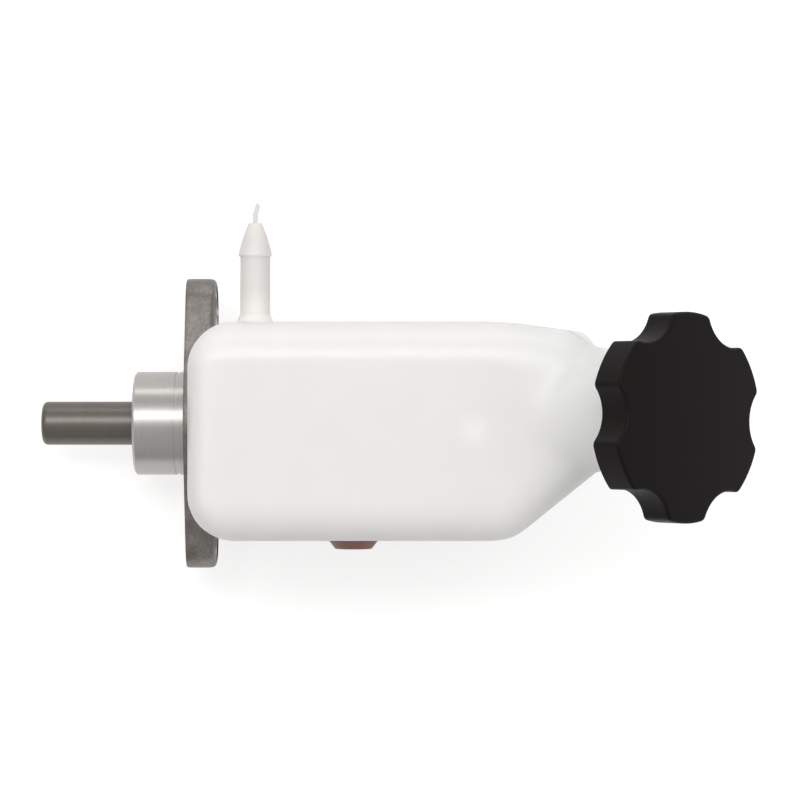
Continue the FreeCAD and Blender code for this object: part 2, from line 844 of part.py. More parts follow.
def reservoir_lower():
    inner_inset = weld_lip + reservoir_wall
    outer = plan_slab(weld_lip, reservoir_floor, reservoir_seam)
    outer = outer.makeFillet(bottom_round, flat_edges(outer, "Z", reservoir_floor))
    lip = plan_slab(0, reservoir_seam - weld_lip_height, reservoir_seam)
    cavity_floor = reservoir_floor + reservoir_wall
    cavity = plan_slab(inner_inset, cavity_floor, reservoir_seam + overcut)
    cavity = cavity.makeFillet(bottom_round - reservoir_wall, flat_edges(cavity, "Z", cavity_floor))
    shell = outer.fuse([lip, nipple(), nipple_flash()]).cut(cavity)
    added = []
    bored = []
    for x in inlets:
        spigot_end = reservoir_floor - reservoir_spigot_length
        added.append(rod(reservoir_spigot_radius, spigot_end, cavity_floor, upright(x)))
        bored.append(rod(reservoir_spigot_bore, spigot_end - overcut, cavity_floor + overcut, upright(x)))
    for side in (-1, 1):
        inside = lug_half_width + 3 * seat_gap
        outside = inside + ear_plate
        low_y = min(side * inside, side * outside)
        high_y = max(side * inside, side * outside)
        added.append(block((pin_x - ear_half_length, low_y, pin_z),
                           (pin_x + ear_half_length, high_y, cavity_floor)))
        added.append(rod(ear_half_length, low_y, high_y, towards_plus_y(pin_x, pin_z)))
    ear_side = outside + overcut
    bored.append(rod(pin_radius + seat_gap, -ear_side, ear_side, towards_plus_y(pin_x, pin_z)))
    wall_inside = reservoir_far_side - inner_inset
    baffle_high = reservoir_seam - baffle_drop
    baffle = block((baffle_x, reservoir_near_side, cavity_floor - overcut),
                   (baffle_x + baffle_thickness, reservoir_far_side, baffle_high))
    added.append(baffle.common(plan_slab(inner_inset - overcut, cavity_floor - overcut, baffle_high)))
    added.append(rod(float_post_radius, cavity_floor - overcut, post_top(), upright(float_x, float_y)))
    tube_end = switch_mouth_y + switch_length
    tube_place = towards_plus_y(float_x, switch_z)
    tube_bore = switch_radius + seat_gap
    added.append(rod(tube_bore + switch_tube_wall, switch_mouth_y, tube_end + switch_tube_end, tube_place))
    bored.append(rod(tube_bore, switch_mouth_y - overcut, tube_end, tube_place))
    bored.append(rod(nipple_bore_radius, wall_inside - overcut, nipple_tip_y - nipple_blind_length,
                     towards_plus_y(nipple_x, nipple_z)))
    shell = shell.fuse(added)
    return shell.cut(bored).removeSplitter()


def post_top():
    return float_low + float_height + float_travel - float_post_setback


def neck_solid(inset, top):
    """Leaning neck that flares into the reservoir's body, kept above the seam."""
    radius = neck_radius - inset
    root = -neck_root_depth
    flare = -neck_flare_depth
    middle = (root + flare) / 2
    straight = rod(radius, root, top, along_neck)
    foot = turned(
        [(root, 0), (root, radius + flare_step(flare - root)),
         (middle, radius + flare_step(flare - middle), flare, radius), (flare, 0)],
        along_neck,
    )
    foot_wall = weld_lip + inset + neck_foot_setback
    foot = foot.common(plan_slab(foot_wall, reservoir_seam - inset, neck_point.z))
    reach = neck_root_depth + neck_radius
    above = block((neck_point.x - 2 * reach, -reach, reservoir_seam - inset),
                  (neck_point.x + reach, reach, neck_point.z + reach))
    return [straight.common(above), foot]


def flare_step(distance):
    return neck_flare_curve - math.sqrt(neck_flare_curve ** 2 - distance ** 2)


def shouldered_face(low_side, high_side, low, top, low_radius, high_radius, place):
    """Upright face between two sides, with a round shoulder at each end of its flat top.
    place gives the point for a distance along the face and a height."""
    slant = math.sqrt(0.5)
    left = low_side + low_radius
    right = high_side - high_radius
    left_middle = place(left - low_radius * slant, top - low_radius * (1 - slant))
    right_middle = place(right + high_radius * slant, top - high_radius * (1 - slant))
    edges = [
        Part.makeLine(place(low_side, low), place(high_side, low)),
        Part.makeLine(place(high_side, low), place(high_side, top - high_radius)),
        Part.Arc(place(high_side, top - high_radius), right_middle, place(right, top)).toShape(),
        Part.makeLine(place(right, top), place(left, top)),
        Part.Arc(place(left, top), left_middle, place(low_side, top - low_radius)).toShape(),
        Part.makeLine(place(low_side, top - low_radius), place(low_side, low)),
    ]
    return Part.Face(Part.Wire(edges))


def reservoir_dome(inset):
    """Upper half of the reservoir's body: its plan, with shoulders along both sides and ends."""
    top = reservoir_top - inset
    low = reservoir_seam - inset
    wall = weld_lip + inset
    plan = plan_slab(wall, low, top)
    near_side = reservoir_near_side + wall - shoulder_overlap
    far_side = reservoir_far_side - wall + shoulder_overlap
    rear = reservoir_rear + wall - shoulder_overlap
    front = reservoir_front - wall + shoulder_overlap
    section = shouldered_face(near_side, far_side, low, top, side_shoulder - inset, side_shoulder - inset,
                              lambda along, height: Vector(rear - overcut, along, height))
    profile = shouldered_face(rear, front, low, top, rear_shoulder - inset, front_shoulder - inset,
                              lambda along, height: Vector(along, near_side - overcut, height))
    lengthways = section.extrude(Vector(front - rear + 2 * overcut, 0, 0))
    crossways = profile.extrude(Vector(0, far_side - near_side + 2 * overcut, 0))
    return plan.common(lengthways).common(crossways)


def reservoir_upper():
    outer = reservoir_dome(0).fuse(neck_solid(0, neck_top))
    lip = plan_slab(0, reservoir_seam, reservoir_seam + weld_lip_height)
    hollow = [reservoir_dome(reservoir_wall)] + neck_solid(reservoir_wall, neck_top + overcut)
    shell = outer.fuse(lip)
    for cut in hollow:
        shell = shell.cut(cut)
    thread = helical_ridge(neck_radius - thread_root_overlap, neck_radius + thread_depth,
                           neck_thread_start, neck_thread_turns, 0)
    stop_low = post_top() + float_stop_gap
    stop_high = reservoir_top - reservoir_wall + overcut
    stop = rod(float_post_radius + float_stop_wall, stop_low, stop_high, upright(float_x, float_y))
    return shell.fuse([thread, stop]).removeSplitter()


def filler_strainer():
    outer = neck_inner_radius - 2 * seat_gap
    inner = outer - strainer_wall
    floor = neck_top - strainer_depth
    rest = neck_top + end_gap
    basket = turned(
        [(floor, 0), (floor, outer), (rest, outer), (rest, neck_radius - gasket_overhang),
         (strainer_top, neck_radius - gasket_overhang), (strainer_top, inner),
         (floor + strainer_wall, inner), (floor + strainer_wall, 0)],
        Placement(),
    )
    low = floor + strainer_rim
    high = neck_top - strainer_rim
    half = strainer_slot_width / 2
    hub = rod(inner - overcut, low - overcut, high + overcut, Placement())
    for i in range(strainer_slots):
        slot = block((0, -half, low), (outer + overcut, half, high))
        slot.rotate(Vector(0, 0, 0), Vector(0, 0, 1), 360.0 * i / strainer_slots)
        basket = basket.cut(slot.cut(hub))
    holes = []
    for ring, count in strainer_rings:
        for i in range(count):
            angle = 2 * math.pi * i / count
            place = upright(ring * math.cos(angle), ring * math.sin(angle))
            holes.append(rod(strainer_hole_radius, floor - overcut, low, place))
    return placed(basket.cut(holes), along_neck)


def lobed_face(inset, z):
    """Round disc with evenly spaced scoops. The first one is lobe_turn away from forward and down."""
    radius = cap_radius - inset
    scoop = notch_radius + inset
    disc = Part.Face(Part.Wire(Part.makeCircle(radius, Vector(0, 0, z))))
    for i in range(lobe_count):
        angle = math.radians(lobe_turn + 360.0 * i / lobe_count)
        centre = Vector(notch_centre * math.cos(angle), notch_centre * math.sin(angle), z)
        disc = disc.cut(Part.Face(Part.Wire(Part.makeCircle(scoop, centre))))
    return disc


def lobed_prism(inset, low, high):
    prism = lobed_face(inset, low).extrude(Vector(0, 0, high - low))
    if prism.ShapeType == "Compound":
        prism = prism.Solids[0]
    upright_edges = [edge for edge in prism.Edges if near(edge.BoundBox.ZLength, high - low, 0.001)
                     and near(edge.BoundBox.XLength, 0) and near(edge.BoundBox.YLength, 0)]
    return prism.makeFillet(max(lobe_corner_radius - inset, lobe_inner_corner), upright_edges)


def filler_cap():
    top = filler_cap_height
    sphere_radius = (cap_radius ** 2 + filler_cap_crown ** 2) / (2 * filler_cap_crown)
    body = lobed_prism(0, 0, top + filler_cap_crown + overcut)
    # the sphere lies on its side, so that neither its poles nor its seam fall on the cap's face
    sphere_centre = Vector(0, 0, top + filler_cap_crown - sphere_radius)
    body = body.common(Part.makeSphere(sphere_radius, sphere_centre, Vector(-1, 0, 0)))
    rim = [edge for edge in body.Edges if edge.BoundBox.ZMin > top / 2]
    body = body.makeFillet(filler_cap_round, rim)
    ceiling = gasket_top + end_gap
    hollow = lobed_prism(filler_cap_shell, -overcut, ceiling)
    socket_outer = socket_radius_of_cap + socket_wall
    kept = [tube(socket_outer, socket_radius_of_cap, socket_setback, ceiling, Placement())]
    for i in range(lobe_count):
        rib = block((socket_outer - cap_rib_overlap, -cap_rib_thickness / 2, cap_rib_setback),
                    (cap_radius, cap_rib_thickness / 2, ceiling))
        rib.rotate(Vector(0, 0, 0), Vector(0, 0, 1), lobe_turn + 360.0 * (i + 0.5) / lobe_count)
        kept.append(rib.common(hollow))
    for piece in kept:
        hollow = hollow.cut(piece)
    body = placed(body.cut(hollow), along_neck)
    thread = helical_ridge(socket_radius_of_cap + thread_root_overlap, neck_radius + thread_gap,
                           cap_thread_start, cap_thread_turns, cap_thread_angle())
    return body.fuse(thread).removeSplitter()


def cap_thread_angle():
    """Turn of the cap's ridge that sets it midway between the turns of the neck's ridge."""
    offset = neck_thread_start - cap_thread_start + thread_pitch / 2
    return -360.0 * offset / thread_pitch


def cap_gasket():
    return tube(neck_radius + gasket_overhang, gasket_hole_radius, strainer_top, gasket_top, along_neck)


def level_float():
    low = float_low
    high = low + float_height
    inner = float_post_radius + float_gap
    magnet_inner = inner + magnet_sleeve
    magnet_high = low + magnet_height + seat_gap
    return turned(
        [(low, inner), (low, magnet_inner - seat_gap), (magnet_high, magnet_inner - seat_gap),
         (magnet_high, magnet_radius + seat_gap), (low, magnet_radius + seat_gap),
         (low, float_radius - float_edge), (low + float_edge, float_radius),
         (high - float_edge, float_radius), (high, float_radius - float_edge), (high, inner)],
        upright(float_x, float_y),
    )


def float_magnet():
    inner = float_post_radius + float_gap + magnet_sleeve
    return tube(magnet_radius, inner, float_low, float_low + magnet_height, upright(float_x, float_y))


def level_switch():
    place = towards_plus_y(float_x, switch_z)
    capsule = rod(switch_radius, switch_mouth_y - overcut, switch_mouth_y + switch_length - seat_gap, place)
    back = switch_mouth_y - seat_gap
    front = back - plug_length
    head = block((float_x - plug_half_width, front, switch_z - plug_half_height),
                 (float_x + plug_half_width, back, switch_z + plug_half_height))
    long_edges = [edge for edge in head.Edges if near(edge.BoundBox.YLength, plug_length)]
    head = head.makeFillet(plug_round, long_edges)
    recess_width = plug_half_width - plug_wall
    recess_height = plug_half_height - plug_wall
    recess = block((float_x - recess_width, front - overcut, switch_z - recess_height),
                   (float_x + recess_width, back - plug_floor, switch_z + recess_height))
    body = head.cut(recess).fuse(capsule)
    for place_x in contact_positions():
        body = body.cut(contact_pin(place_x, seat_gap / 2))
    return body.removeSplitter()


def contact_positions():
    return (float_x - contact_offset, float_x + contact_offset)


def contact_pin(x, grow):
    half = contact_side / 2 + grow
    back = switch_mouth_y - seat_gap - contact_root + grow
    return block((x - half, back - contact_length - grow, switch_z - half),
                 (x + half, back, switch_z + half))


def switch_contacts():
    return Part.makeCompound([contact_pin(x, 0) for x in contact_positions()])


pieces = {
    "cylinder_body": cylinder_body(),
    "primary_piston": primary_piston(),
    "secondary_piston": secondary_piston(),
    "primary_spring": primary_spring(),
    "primary_spring_screw": primary_spring_screw(),
    "primary_spring_cup": primary_spring_cup(),
    "secondary_spring": secondary_spring(),
    "primary_pressure_seal": bore_seal(primary_seal_start, True),
    "separator_seal": bore_seal(separator_start, False),
    "secondary_pressure_seal": bore_seal(secondary_seal_start, True),
    "guide_bush": guide_bush(),
    "guide_o_ring": guide_o_ring(),
    "rod_seal": rod_seal(),
    "stop_washer": stop_washer(),
    "retaining_ring": retaining_ring(),
    "rear_inlet_grommet": inlet_grommet(rear_inlet_x),
    "front_inlet_grommet": inlet_grommet(front_inlet_x),
    "reservoir_pin": reservoir_pin(),
    "reservoir_lower": reservoir_lower(),
    "reservoir_upper": reservoir_upper(),
    "filler_strainer": filler_strainer(),
    "cap_gasket": cap_gasket(),
    "filler_cap": filler_cap(),
    "rear_outlet_cap": transit_cap(*rear_outlet),
    "front_outlet_cap": transit_cap(*front_outlet),
    "level_float": level_float(),
    "float_magnet": float_magnet(),
    "level_switch": level_switch(),
    "switch_contacts": switch_contacts(),
}

os.makedirs("parts", exist_ok=True)
for name, shape in pieces.items():
    shape.exportStep("parts/" + name + ".step")
    print(name, "solids", len(shape.Solids), "valid", shape.isValid(), "volume", round(shape.Volume, 1))
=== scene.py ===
import json
import math

import bmesh
import bpy
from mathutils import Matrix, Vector


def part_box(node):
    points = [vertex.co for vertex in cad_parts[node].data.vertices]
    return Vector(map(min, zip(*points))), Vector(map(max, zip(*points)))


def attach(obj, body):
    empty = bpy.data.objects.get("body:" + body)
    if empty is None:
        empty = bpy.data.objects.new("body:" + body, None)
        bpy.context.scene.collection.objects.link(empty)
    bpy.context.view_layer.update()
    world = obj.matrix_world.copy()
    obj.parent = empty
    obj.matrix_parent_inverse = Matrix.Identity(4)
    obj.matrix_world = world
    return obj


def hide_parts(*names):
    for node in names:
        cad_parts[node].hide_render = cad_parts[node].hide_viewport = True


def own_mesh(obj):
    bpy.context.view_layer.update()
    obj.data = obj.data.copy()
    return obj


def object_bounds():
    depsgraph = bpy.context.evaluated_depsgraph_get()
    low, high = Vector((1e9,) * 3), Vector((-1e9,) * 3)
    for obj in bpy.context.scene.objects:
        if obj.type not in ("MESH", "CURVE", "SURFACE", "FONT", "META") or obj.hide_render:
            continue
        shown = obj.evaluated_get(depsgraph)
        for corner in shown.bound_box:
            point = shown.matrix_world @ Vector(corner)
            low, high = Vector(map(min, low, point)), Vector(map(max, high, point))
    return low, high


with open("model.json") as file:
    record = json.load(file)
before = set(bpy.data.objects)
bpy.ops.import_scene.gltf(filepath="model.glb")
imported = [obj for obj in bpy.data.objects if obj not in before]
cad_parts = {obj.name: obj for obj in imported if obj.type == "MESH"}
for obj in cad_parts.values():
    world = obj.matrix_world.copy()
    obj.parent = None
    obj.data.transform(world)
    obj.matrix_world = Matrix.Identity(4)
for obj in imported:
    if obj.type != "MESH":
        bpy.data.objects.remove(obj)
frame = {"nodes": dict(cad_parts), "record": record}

# A tandem brake master cylinder with its fluid reservoir, seen from straight above.
# X runs forward along the bore from the flange's rear face, Z points up to the reservoir,
# and the feed nipple stands out towards +Y. Sizes in the dictionaries are in millimetres,
# but for the camera, the floor and the lamps, which are in metres. Angles are in degrees.
cadBounds = [list(corner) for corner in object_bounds()]
nodes = frame["nodes"]
mm = 0.001
closeBy = 0.001 * mm  # points nearer than this are one point
spare = 1.0  # how far a cutter or a fused piece reaches past the face where it has to end
bodyLow, bodyHigh = [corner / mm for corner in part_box("cylinder_body")]
print("frame loaded:", len(nodes), "nodes")

# camera, straight above the part
view = {"x": 0.0787, "y": 0.0086, "height": 1.055, "lens": 128.2, "sensor": 36.0}
cameraData = bpy.data.cameras.new("camera")
cameraData.lens = view["lens"]
cameraData.sensor_width = view["sensor"]
camera = bpy.data.objects.new("camera", cameraData)
camera.location = (view["x"], view["y"], view["height"])
bpy.context.scene.collection.objects.link(camera)
bpy.context.scene.camera = camera
bpy.context.scene.view_settings.view_transform = "Standard"
print("camera placed")

# turns that lay a piece made along +Z onto its own axis
alongBore = (0, math.radians(90), 0)
towardsMinusY = (math.radians(90), 0, 0)
towardsPlusY = (math.radians(-90), 0, 0)
upright = (0, 0, 0)


def deselectAll():
    if bpy.context.object and bpy.context.object.mode != "OBJECT":
        bpy.ops.object.mode_set(mode="OBJECT")
    bpy.ops.object.select_all(action="DESELECT")


def selectOnly(piece):
    deselectAll()
    piece.select_set(True)
    bpy.context.view_layer.objects.active = piece


def settle(piece):  # its place and turn go into its mesh
    selectOnly(piece)
    bpy.ops.object.transform_apply(location=True, rotation=True, scale=True)
    return piece


def pick(piece, what, test):  # selects the verts, edges or faces whose middle passes the test
    bpy.ops.mesh.select_mode(type={"verts": "VERT", "edges": "EDGE", "faces": "FACE"}[what])
    bpy.ops.mesh.select_all(action="DESELECT")
    shape = bmesh.from_edit_mesh(piece.data)
    for item in getattr(shape, what):
        corners = [item] if what == "verts" else item.verts
        middle = sum((corner.co for corner in corners), Vector()) / len(corners)
        item.select_set(bool(test(item, middle)))
    shape.select_flush_mode()
    bmesh.update_edit_mesh(piece.data)


def faceOutwards():
    bpy.ops.mesh.select_all(action="SELECT")
    bpy.ops.mesh.remove_doubles(threshold=closeBy)
    bpy.ops.mesh.normals_make_consistent(inside=False)


def turnPiece(name, steps, axisTurn=upright, centre=(0, 0, 0), sides=96):
    # a disc, extruded and resized through steps of (distance along the axis, radius)
    startsAt, startRadius = steps[0]
    deselectAll()
    bpy.ops.mesh.primitive_circle_add(vertices=sides, radius=startRadius * mm, fill_type="NGON",
                                      location=(0, 0, startsAt * mm))
    piece = settle(bpy.context.object)
    piece.name = name
    bpy.ops.object.mode_set(mode="EDIT")
    bpy.ops.mesh.select_all(action="SELECT")
    for (alongA, outA), (alongB, outB) in zip(steps, steps[1:]):
        rise = (0, 0, (alongB - alongA) * mm)
        bpy.ops.mesh.extrude_region_move(TRANSFORM_OT_translate={"value": rise})
        if outB != outA:
            grow = outB / outA
            bpy.ops.transform.resize(value=(grow, grow, 1), center_override=(0, 0, alongB * mm))
    faceOutwards()
    bpy.ops.object.mode_set(mode="OBJECT")
    piece.rotation_euler = axisTurn
    piece.location = [value * mm for value in centre]
    return settle(piece)


def blockPiece(name, low, high):
    deselectAll()
    middle = [(a + b) / 2 * mm for a, b in zip(low, high)]
    bpy.ops.mesh.primitive_cube_add(size=1, location=middle)
    piece = bpy.context.object
    piece.name = name
    piece.scale = [(b - a) * mm for a, b in zip(low, high)]
    return settle(piece)


def joinPieces(name, pieces):
    deselectAll()
    for piece in pieces:
        piece.select_set(True)
    bpy.context.view_layer.objects.active = pieces[0]
    bpy.ops.object.join()
    pieces[0].name = name
    return pieces[0]


def applyModifier(piece, kind, **settings):
    selectOnly(piece)
    modifier = piece.modifiers.new(kind.lower(), kind)
    for name, value in settings.items():
        setattr(modifier, name, value)
    bpy.ops.object.modifier_apply(modifier=modifier.name)


def combine(piece, others, how):  # UNION, DIFFERENCE or INTERSECT with each of the others
    for other in others:
        applyModifier(piece, "BOOLEAN", operation=how, solver="EXACT", object=other,
                      material_mode="TRANSFER")
        bpy.data.objects.remove(other)


def smoothShade(piece, degrees):
    selectOnly(piece)
    bpy.ops.object.shade_smooth_by_angle(angle=math.radians(degrees))


def coat(piece, material):
    piece.data.materials.clear()
    piece.data.materials.append(material)


def linearColour(hexValue, alpha=1.0):
    channels = [int(hexValue[i:i + 2], 16) / 255 for i in (1, 3, 5)]
    return [c / 12.92 if c <= 0.04045 else ((c + 0.055) / 1.055) ** 2.4
            for c in channels] + [alpha]


def addNode(tree, kind, inputs=None, **settings):
    node = tree.nodes.new(kind)
    for name, value in settings.items():
        setattr(node, name, value)
    for socket, value in (inputs or {}).items():
        if isinstance(value, bpy.types.NodeSocket):
            tree.links.new(value, node.inputs[socket])
        else:
            node.inputs[socket].default_value = value
    return node


def newMaterial(name):
    material = bpy.data.materials.new(name)
    material.use_nodes = True
    material.node_tree.nodes.clear()
    return material, material.node_tree


def finishMaterial(tree, surface):
    addNode(tree, "ShaderNodeOutputMaterial", {"Surface": surface})


# In each look, pale and dark are the two colours that a cloud mixes, the sizes of patterns are
# in millimetres, uneven is how far roughness strays both ways, and bump is the relief's depth.
# Tool marks run round the bore's axis: feed is their spacing, streak and streakLength the width
# and length of the duller bands among them.

# die-cast aluminium alloy, left as cast: warm grey, dull, sandy, with cloudy patches
castLook = {
    "pale": "#8b8783", "dark": "#6f6a66", "patch": 9.0, "speck": 1.1, "grain": 0.45,
    "darkAt": 0.14, "paleAt": 0.38, "roughness": 0.45, "uneven": 0.1, "bump": 0.05,
}
castAluminium, tree = newMaterial("asCastAluminium")
place = addNode(tree, "ShaderNodeTexCoord").outputs["Object"]
patch = addNode(tree, "ShaderNodeTexNoise", {
    "Vector": place, "Scale": 1 / (castLook["patch"] * mm), "Detail": 4.0,
    "Roughness": 0.6}).outputs["Fac"]
speck = addNode(tree, "ShaderNodeTexNoise", {
    "Vector": place, "Scale": 1 / (castLook["speck"] * mm), "Detail": 3.0,
    "Roughness": 0.7}).outputs["Fac"]
grain = addNode(tree, "ShaderNodeTexNoise", {
    "Vector": place, "Scale": 1 / (castLook["grain"] * mm), "Detail": 4.0}).outputs["Fac"]
mottle = addNode(tree, "ShaderNodeMath", {0: patch, 1: speck}, operation="MULTIPLY").outputs[0]
tone = addNode(tree, "ShaderNodeMapRange", {
    "Value": mottle, "From Min": castLook["darkAt"],
    "From Max": castLook["paleAt"]}).outputs["Result"]
colour = addNode(tree, "ShaderNodeMix", {
    "Factor": tone, "A": linearColour(castLook["dark"]),
    "B": linearColour(castLook["pale"])}, data_type="RGBA").outputs["Result"]
rough = addNode(tree, "ShaderNodeMapRange", {
    "Value": speck, "To Min": castLook["roughness"] - castLook["uneven"],
    "To Max": castLook["roughness"] + castLook["uneven"]}).outputs["Result"]
relief = addNode(tree, "ShaderNodeMath", {0: grain, 1: speck}, operation="ADD").outputs[0]
bump = addNode(tree, "ShaderNodeBump", {
    "Height": relief, "Strength": 0.6, "Distance": castLook["bump"] * mm}).outputs["Normal"]
finishMaterial(tree, addNode(tree, "ShaderNodeBsdfPrincipled", {
    "Base Color": colour, "Metallic": 0.95, "Roughness": rough,
    "Normal": bump}).outputs["BSDF"])

waveRepeat = 0.314  # how far apart the bands of a wave texture are at scale 1

# the same alloy where a lathe or cutter has faced it: bright, with fine rings of tool marks.
# Real feed marks are about 0.1 mm apart; they are drawn coarser here so that they show.
turnedLook = {
    "pale": "#b1aeab", "dark": "#a5a29f", "feed": 0.5, "streak": 0.4, "streakLength": 50 / 3,
    "smoothest": 0.25, "roughest": 0.39, "bump": 0.0015,
}
turnedAluminium, tree = newMaterial("latheTurnedAluminium")
place = addNode(tree, "ShaderNodeTexCoord").outputs["Object"]
rings = addNode(tree, "ShaderNodeTexWave", {
    "Vector": place, "Scale": waveRepeat / (turnedLook["feed"] * mm), "Distortion": 0.6,
    "Detail": 2.0, "Detail Scale": 2.0}, bands_direction="X").outputs["Fac"]
streakScale = [1 / (turnedLook[size] * mm) for size in ("streak", "streakLength", "streakLength")]
stretch = addNode(tree, "ShaderNodeMapping", {
    "Vector": place, "Scale": streakScale}).outputs["Vector"]
streak = addNode(tree, "ShaderNodeTexNoise", {
    "Vector": stretch, "Scale": 1.0, "Detail": 3.0}).outputs["Fac"]
colour = addNode(tree, "ShaderNodeMix", {
    "Factor": streak, "A": linearColour(turnedLook["dark"]),
    "B": linearColour(turnedLook["pale"])}, data_type="RGBA").outputs["Result"]
rough = addNode(tree, "ShaderNodeMapRange", {
    "Value": streak, "To Min": turnedLook["smoothest"],
    "To Max": turnedLook["roughest"]}).outputs["Result"]
relief = addNode(tree, "ShaderNodeMath", {0: rings, 1: streak}, operation="ADD").outputs[0]
bump = addNode(tree, "ShaderNodeBump", {
    "Height": relief, "Strength": 0.5, "Distance": turnedLook["bump"] * mm}).outputs["Normal"]
finishMaterial(tree, addNode(tree, "ShaderNodeBsdfPrincipled", {
    "Base Color": colour, "Metallic": 1.0, "Roughness": rough, "Normal": bump}).outputs["BSDF"])

# hard-anodised piston: turned first, then a warm grey oxide, so it is darker but still shows rings
anodisedLook = {
    "pale": "#6e6964", "dark": "#67625d", "feed": 0.45, "streak": 0.8, "streakLength": 100 / 9,
    "roughness": 0.4, "bump": 0.002,
}
hardAnodised, tree = newMaterial("hardAnodisedAluminium")
place = addNode(tree, "ShaderNodeTexCoord").outputs["Object"]
rings = addNode(tree, "ShaderNodeTexWave", {
    "Vector": place, "Scale": waveRepeat / (anodisedLook["feed"] * mm), "Distortion": 0.4,
    "Detail": 2.0}, bands_direction="X").outputs["Fac"]
streakScale = [1 / (anodisedLook[size] * mm) for size in ("streak", "streakLength", "streakLength")]
stretch = addNode(tree, "ShaderNodeMapping", {
    "Vector": place, "Scale": streakScale}).outputs["Vector"]
streak = addNode(tree, "ShaderNodeTexNoise", {
    "Vector": stretch, "Scale": 1.0, "Detail": 3.0}).outputs["Fac"]
colour = addNode(tree, "ShaderNodeMix", {
    "Factor": streak, "A": linearColour(anodisedLook["dark"]),
    "B": linearColour(anodisedLook["pale"])}, data_type="RGBA").outputs["Result"]
bump = addNode(tree, "ShaderNodeBump", {
    "Height": rings, "Strength": 0.4,
    "Distance": anodisedLook["bump"] * mm}).outputs["Normal"]
finishMaterial(tree, addNode(tree, "ShaderNodeBsdfPrincipled", {
    "Base Color": colour, "Metallic": 0.95, "Roughness": anodisedLook["roughness"],
    "Normal": bump}).outputs["BSDF"])

# natural polypropylene, injection moulded: milky, lets light through its wall, faint flow clouding.
# Towards the filler neck, along X, a painted bluish reflection tints the colour. The feed nipple,
# along Y, is nearly solid; painted shade darkens its colour there, standing in for the light that
# comes back less from it.
milkyLook = {
    "pale": "#f6f4ef", "dark": "#f1efe9", "paintedNeckReflection": "#eff3f3", "solid": "#dcd9d6",
    "cloud": 16.0, "ripple": 3.0, "neckFrom": 110.0, "neckTo": 165.0, "nippleFrom": 36.0,
    "nippleTo": 48.0, "smoothest": 0.29, "roughest": 0.38, "bump": 0.03, "depth": 6.0,
    "tint": (0.94, 0.98, 1.0),  # how far each colour of light spreads, against depth
}
milkyPlastic, tree = newMaterial("naturalPolypropylene")
place = addNode(tree, "ShaderNodeTexCoord").outputs["Object"]
parts = addNode(tree, "ShaderNodeSeparateXYZ", {"Vector": place}).outputs
cloud = addNode(tree, "ShaderNodeTexNoise", {
    "Vector": place, "Scale": 1 / (milkyLook["cloud"] * mm), "Detail": 3.0}).outputs["Fac"]
ripple = addNode(tree, "ShaderNodeTexNoise", {
    "Vector": place, "Scale": 1 / (milkyLook["ripple"] * mm), "Detail": 2.0}).outputs["Fac"]
colour = addNode(tree, "ShaderNodeMix", {
    "Factor": cloud, "A": linearColour(milkyLook["dark"]),
    "B": linearColour(milkyLook["pale"])}, data_type="RGBA").outputs["Result"]
# painted reflection: the colour turns bluish towards the filler neck, standing in for the light its
# lit side reflects
paintedNeckReflection = addNode(tree, "ShaderNodeMapRange", {
    "Value": parts["X"], "From Min": milkyLook["neckFrom"] * mm,
    "From Max": milkyLook["neckTo"] * mm}).outputs["Result"]
colour = addNode(tree, "ShaderNodeMix", {
    "Factor": paintedNeckReflection, "A": colour, "B": linearColour(milkyLook["paintedNeckReflection"])},
    data_type="RGBA").outputs["Result"]
# painted shade: the colour darkens over the feed nipple, standing in for the light that comes back
# less from it
solid = addNode(tree, "ShaderNodeMapRange", {
    "Value": parts["Y"], "From Min": milkyLook["nippleFrom"] * mm,
    "From Max": milkyLook["nippleTo"] * mm}).outputs["Result"]
colour = addNode(tree, "ShaderNodeMix", {
    "Factor": solid, "A": colour, "B": linearColour(milkyLook["solid"])},
    data_type="RGBA").outputs["Result"]
rough = addNode(tree, "ShaderNodeMapRange", {
    "Value": cloud, "To Min": milkyLook["smoothest"],
    "To Max": milkyLook["roughest"]}).outputs["Result"]
bump = addNode(tree, "ShaderNodeBump", {
    "Height": ripple, "Strength": 0.25, "Distance": milkyLook["bump"] * mm}).outputs["Normal"]
finishMaterial(tree, addNode(tree, "ShaderNodeBsdfPrincipled", {
    "Base Color": colour, "Roughness": rough, "Normal": bump, "IOR": 1.49,
    "Subsurface Weight": 1.0, "Subsurface Radius": milkyLook["tint"],
    "Subsurface Scale": milkyLook["depth"] * mm}).outputs["BSDF"])


def grainedMaterial(name, look):
    # two colours in a cloud and a fine grain in the relief; the shader entry of a look is set
    # on the shader as it stands
    material, tree = newMaterial(name)
    place = addNode(tree, "ShaderNodeTexCoord").outputs["Object"]
    cloud = addNode(tree, "ShaderNodeTexNoise", {
        "Vector": place, "Scale": 1 / (look["cloud"] * mm), "Detail": 3.0}).outputs["Fac"]
    grain = addNode(tree, "ShaderNodeTexNoise", {
        "Vector": place, "Scale": 1 / (look["grain"] * mm), "Detail": 2.0}).outputs["Fac"]
    colour = addNode(tree, "ShaderNodeMix", {
        "Factor": cloud, "A": linearColour(look["dark"]),
        "B": linearColour(look["pale"])}, data_type="RGBA").outputs["Result"]
    uneven = 0.06
    rough = addNode(tree, "ShaderNodeMapRange", {
        "Value": grain, "To Min": look["roughness"] - uneven,
        "To Max": look["roughness"] + uneven}).outputs["Result"]
    bump = addNode(tree, "ShaderNodeBump", {
        "Height": grain, "Strength": 0.5, "Distance": look["bump"] * mm}).outputs["Normal"]
    shader = {"Base Color": colour, "Metallic": look.get("metallic", 0.0), "Roughness": rough,
              "Normal": bump}
    shader.update(look.get("shader", {}))
    finishMaterial(tree, addNode(tree, "ShaderNodeBsdfPrincipled", shader).outputs["BSDF"])
    return material


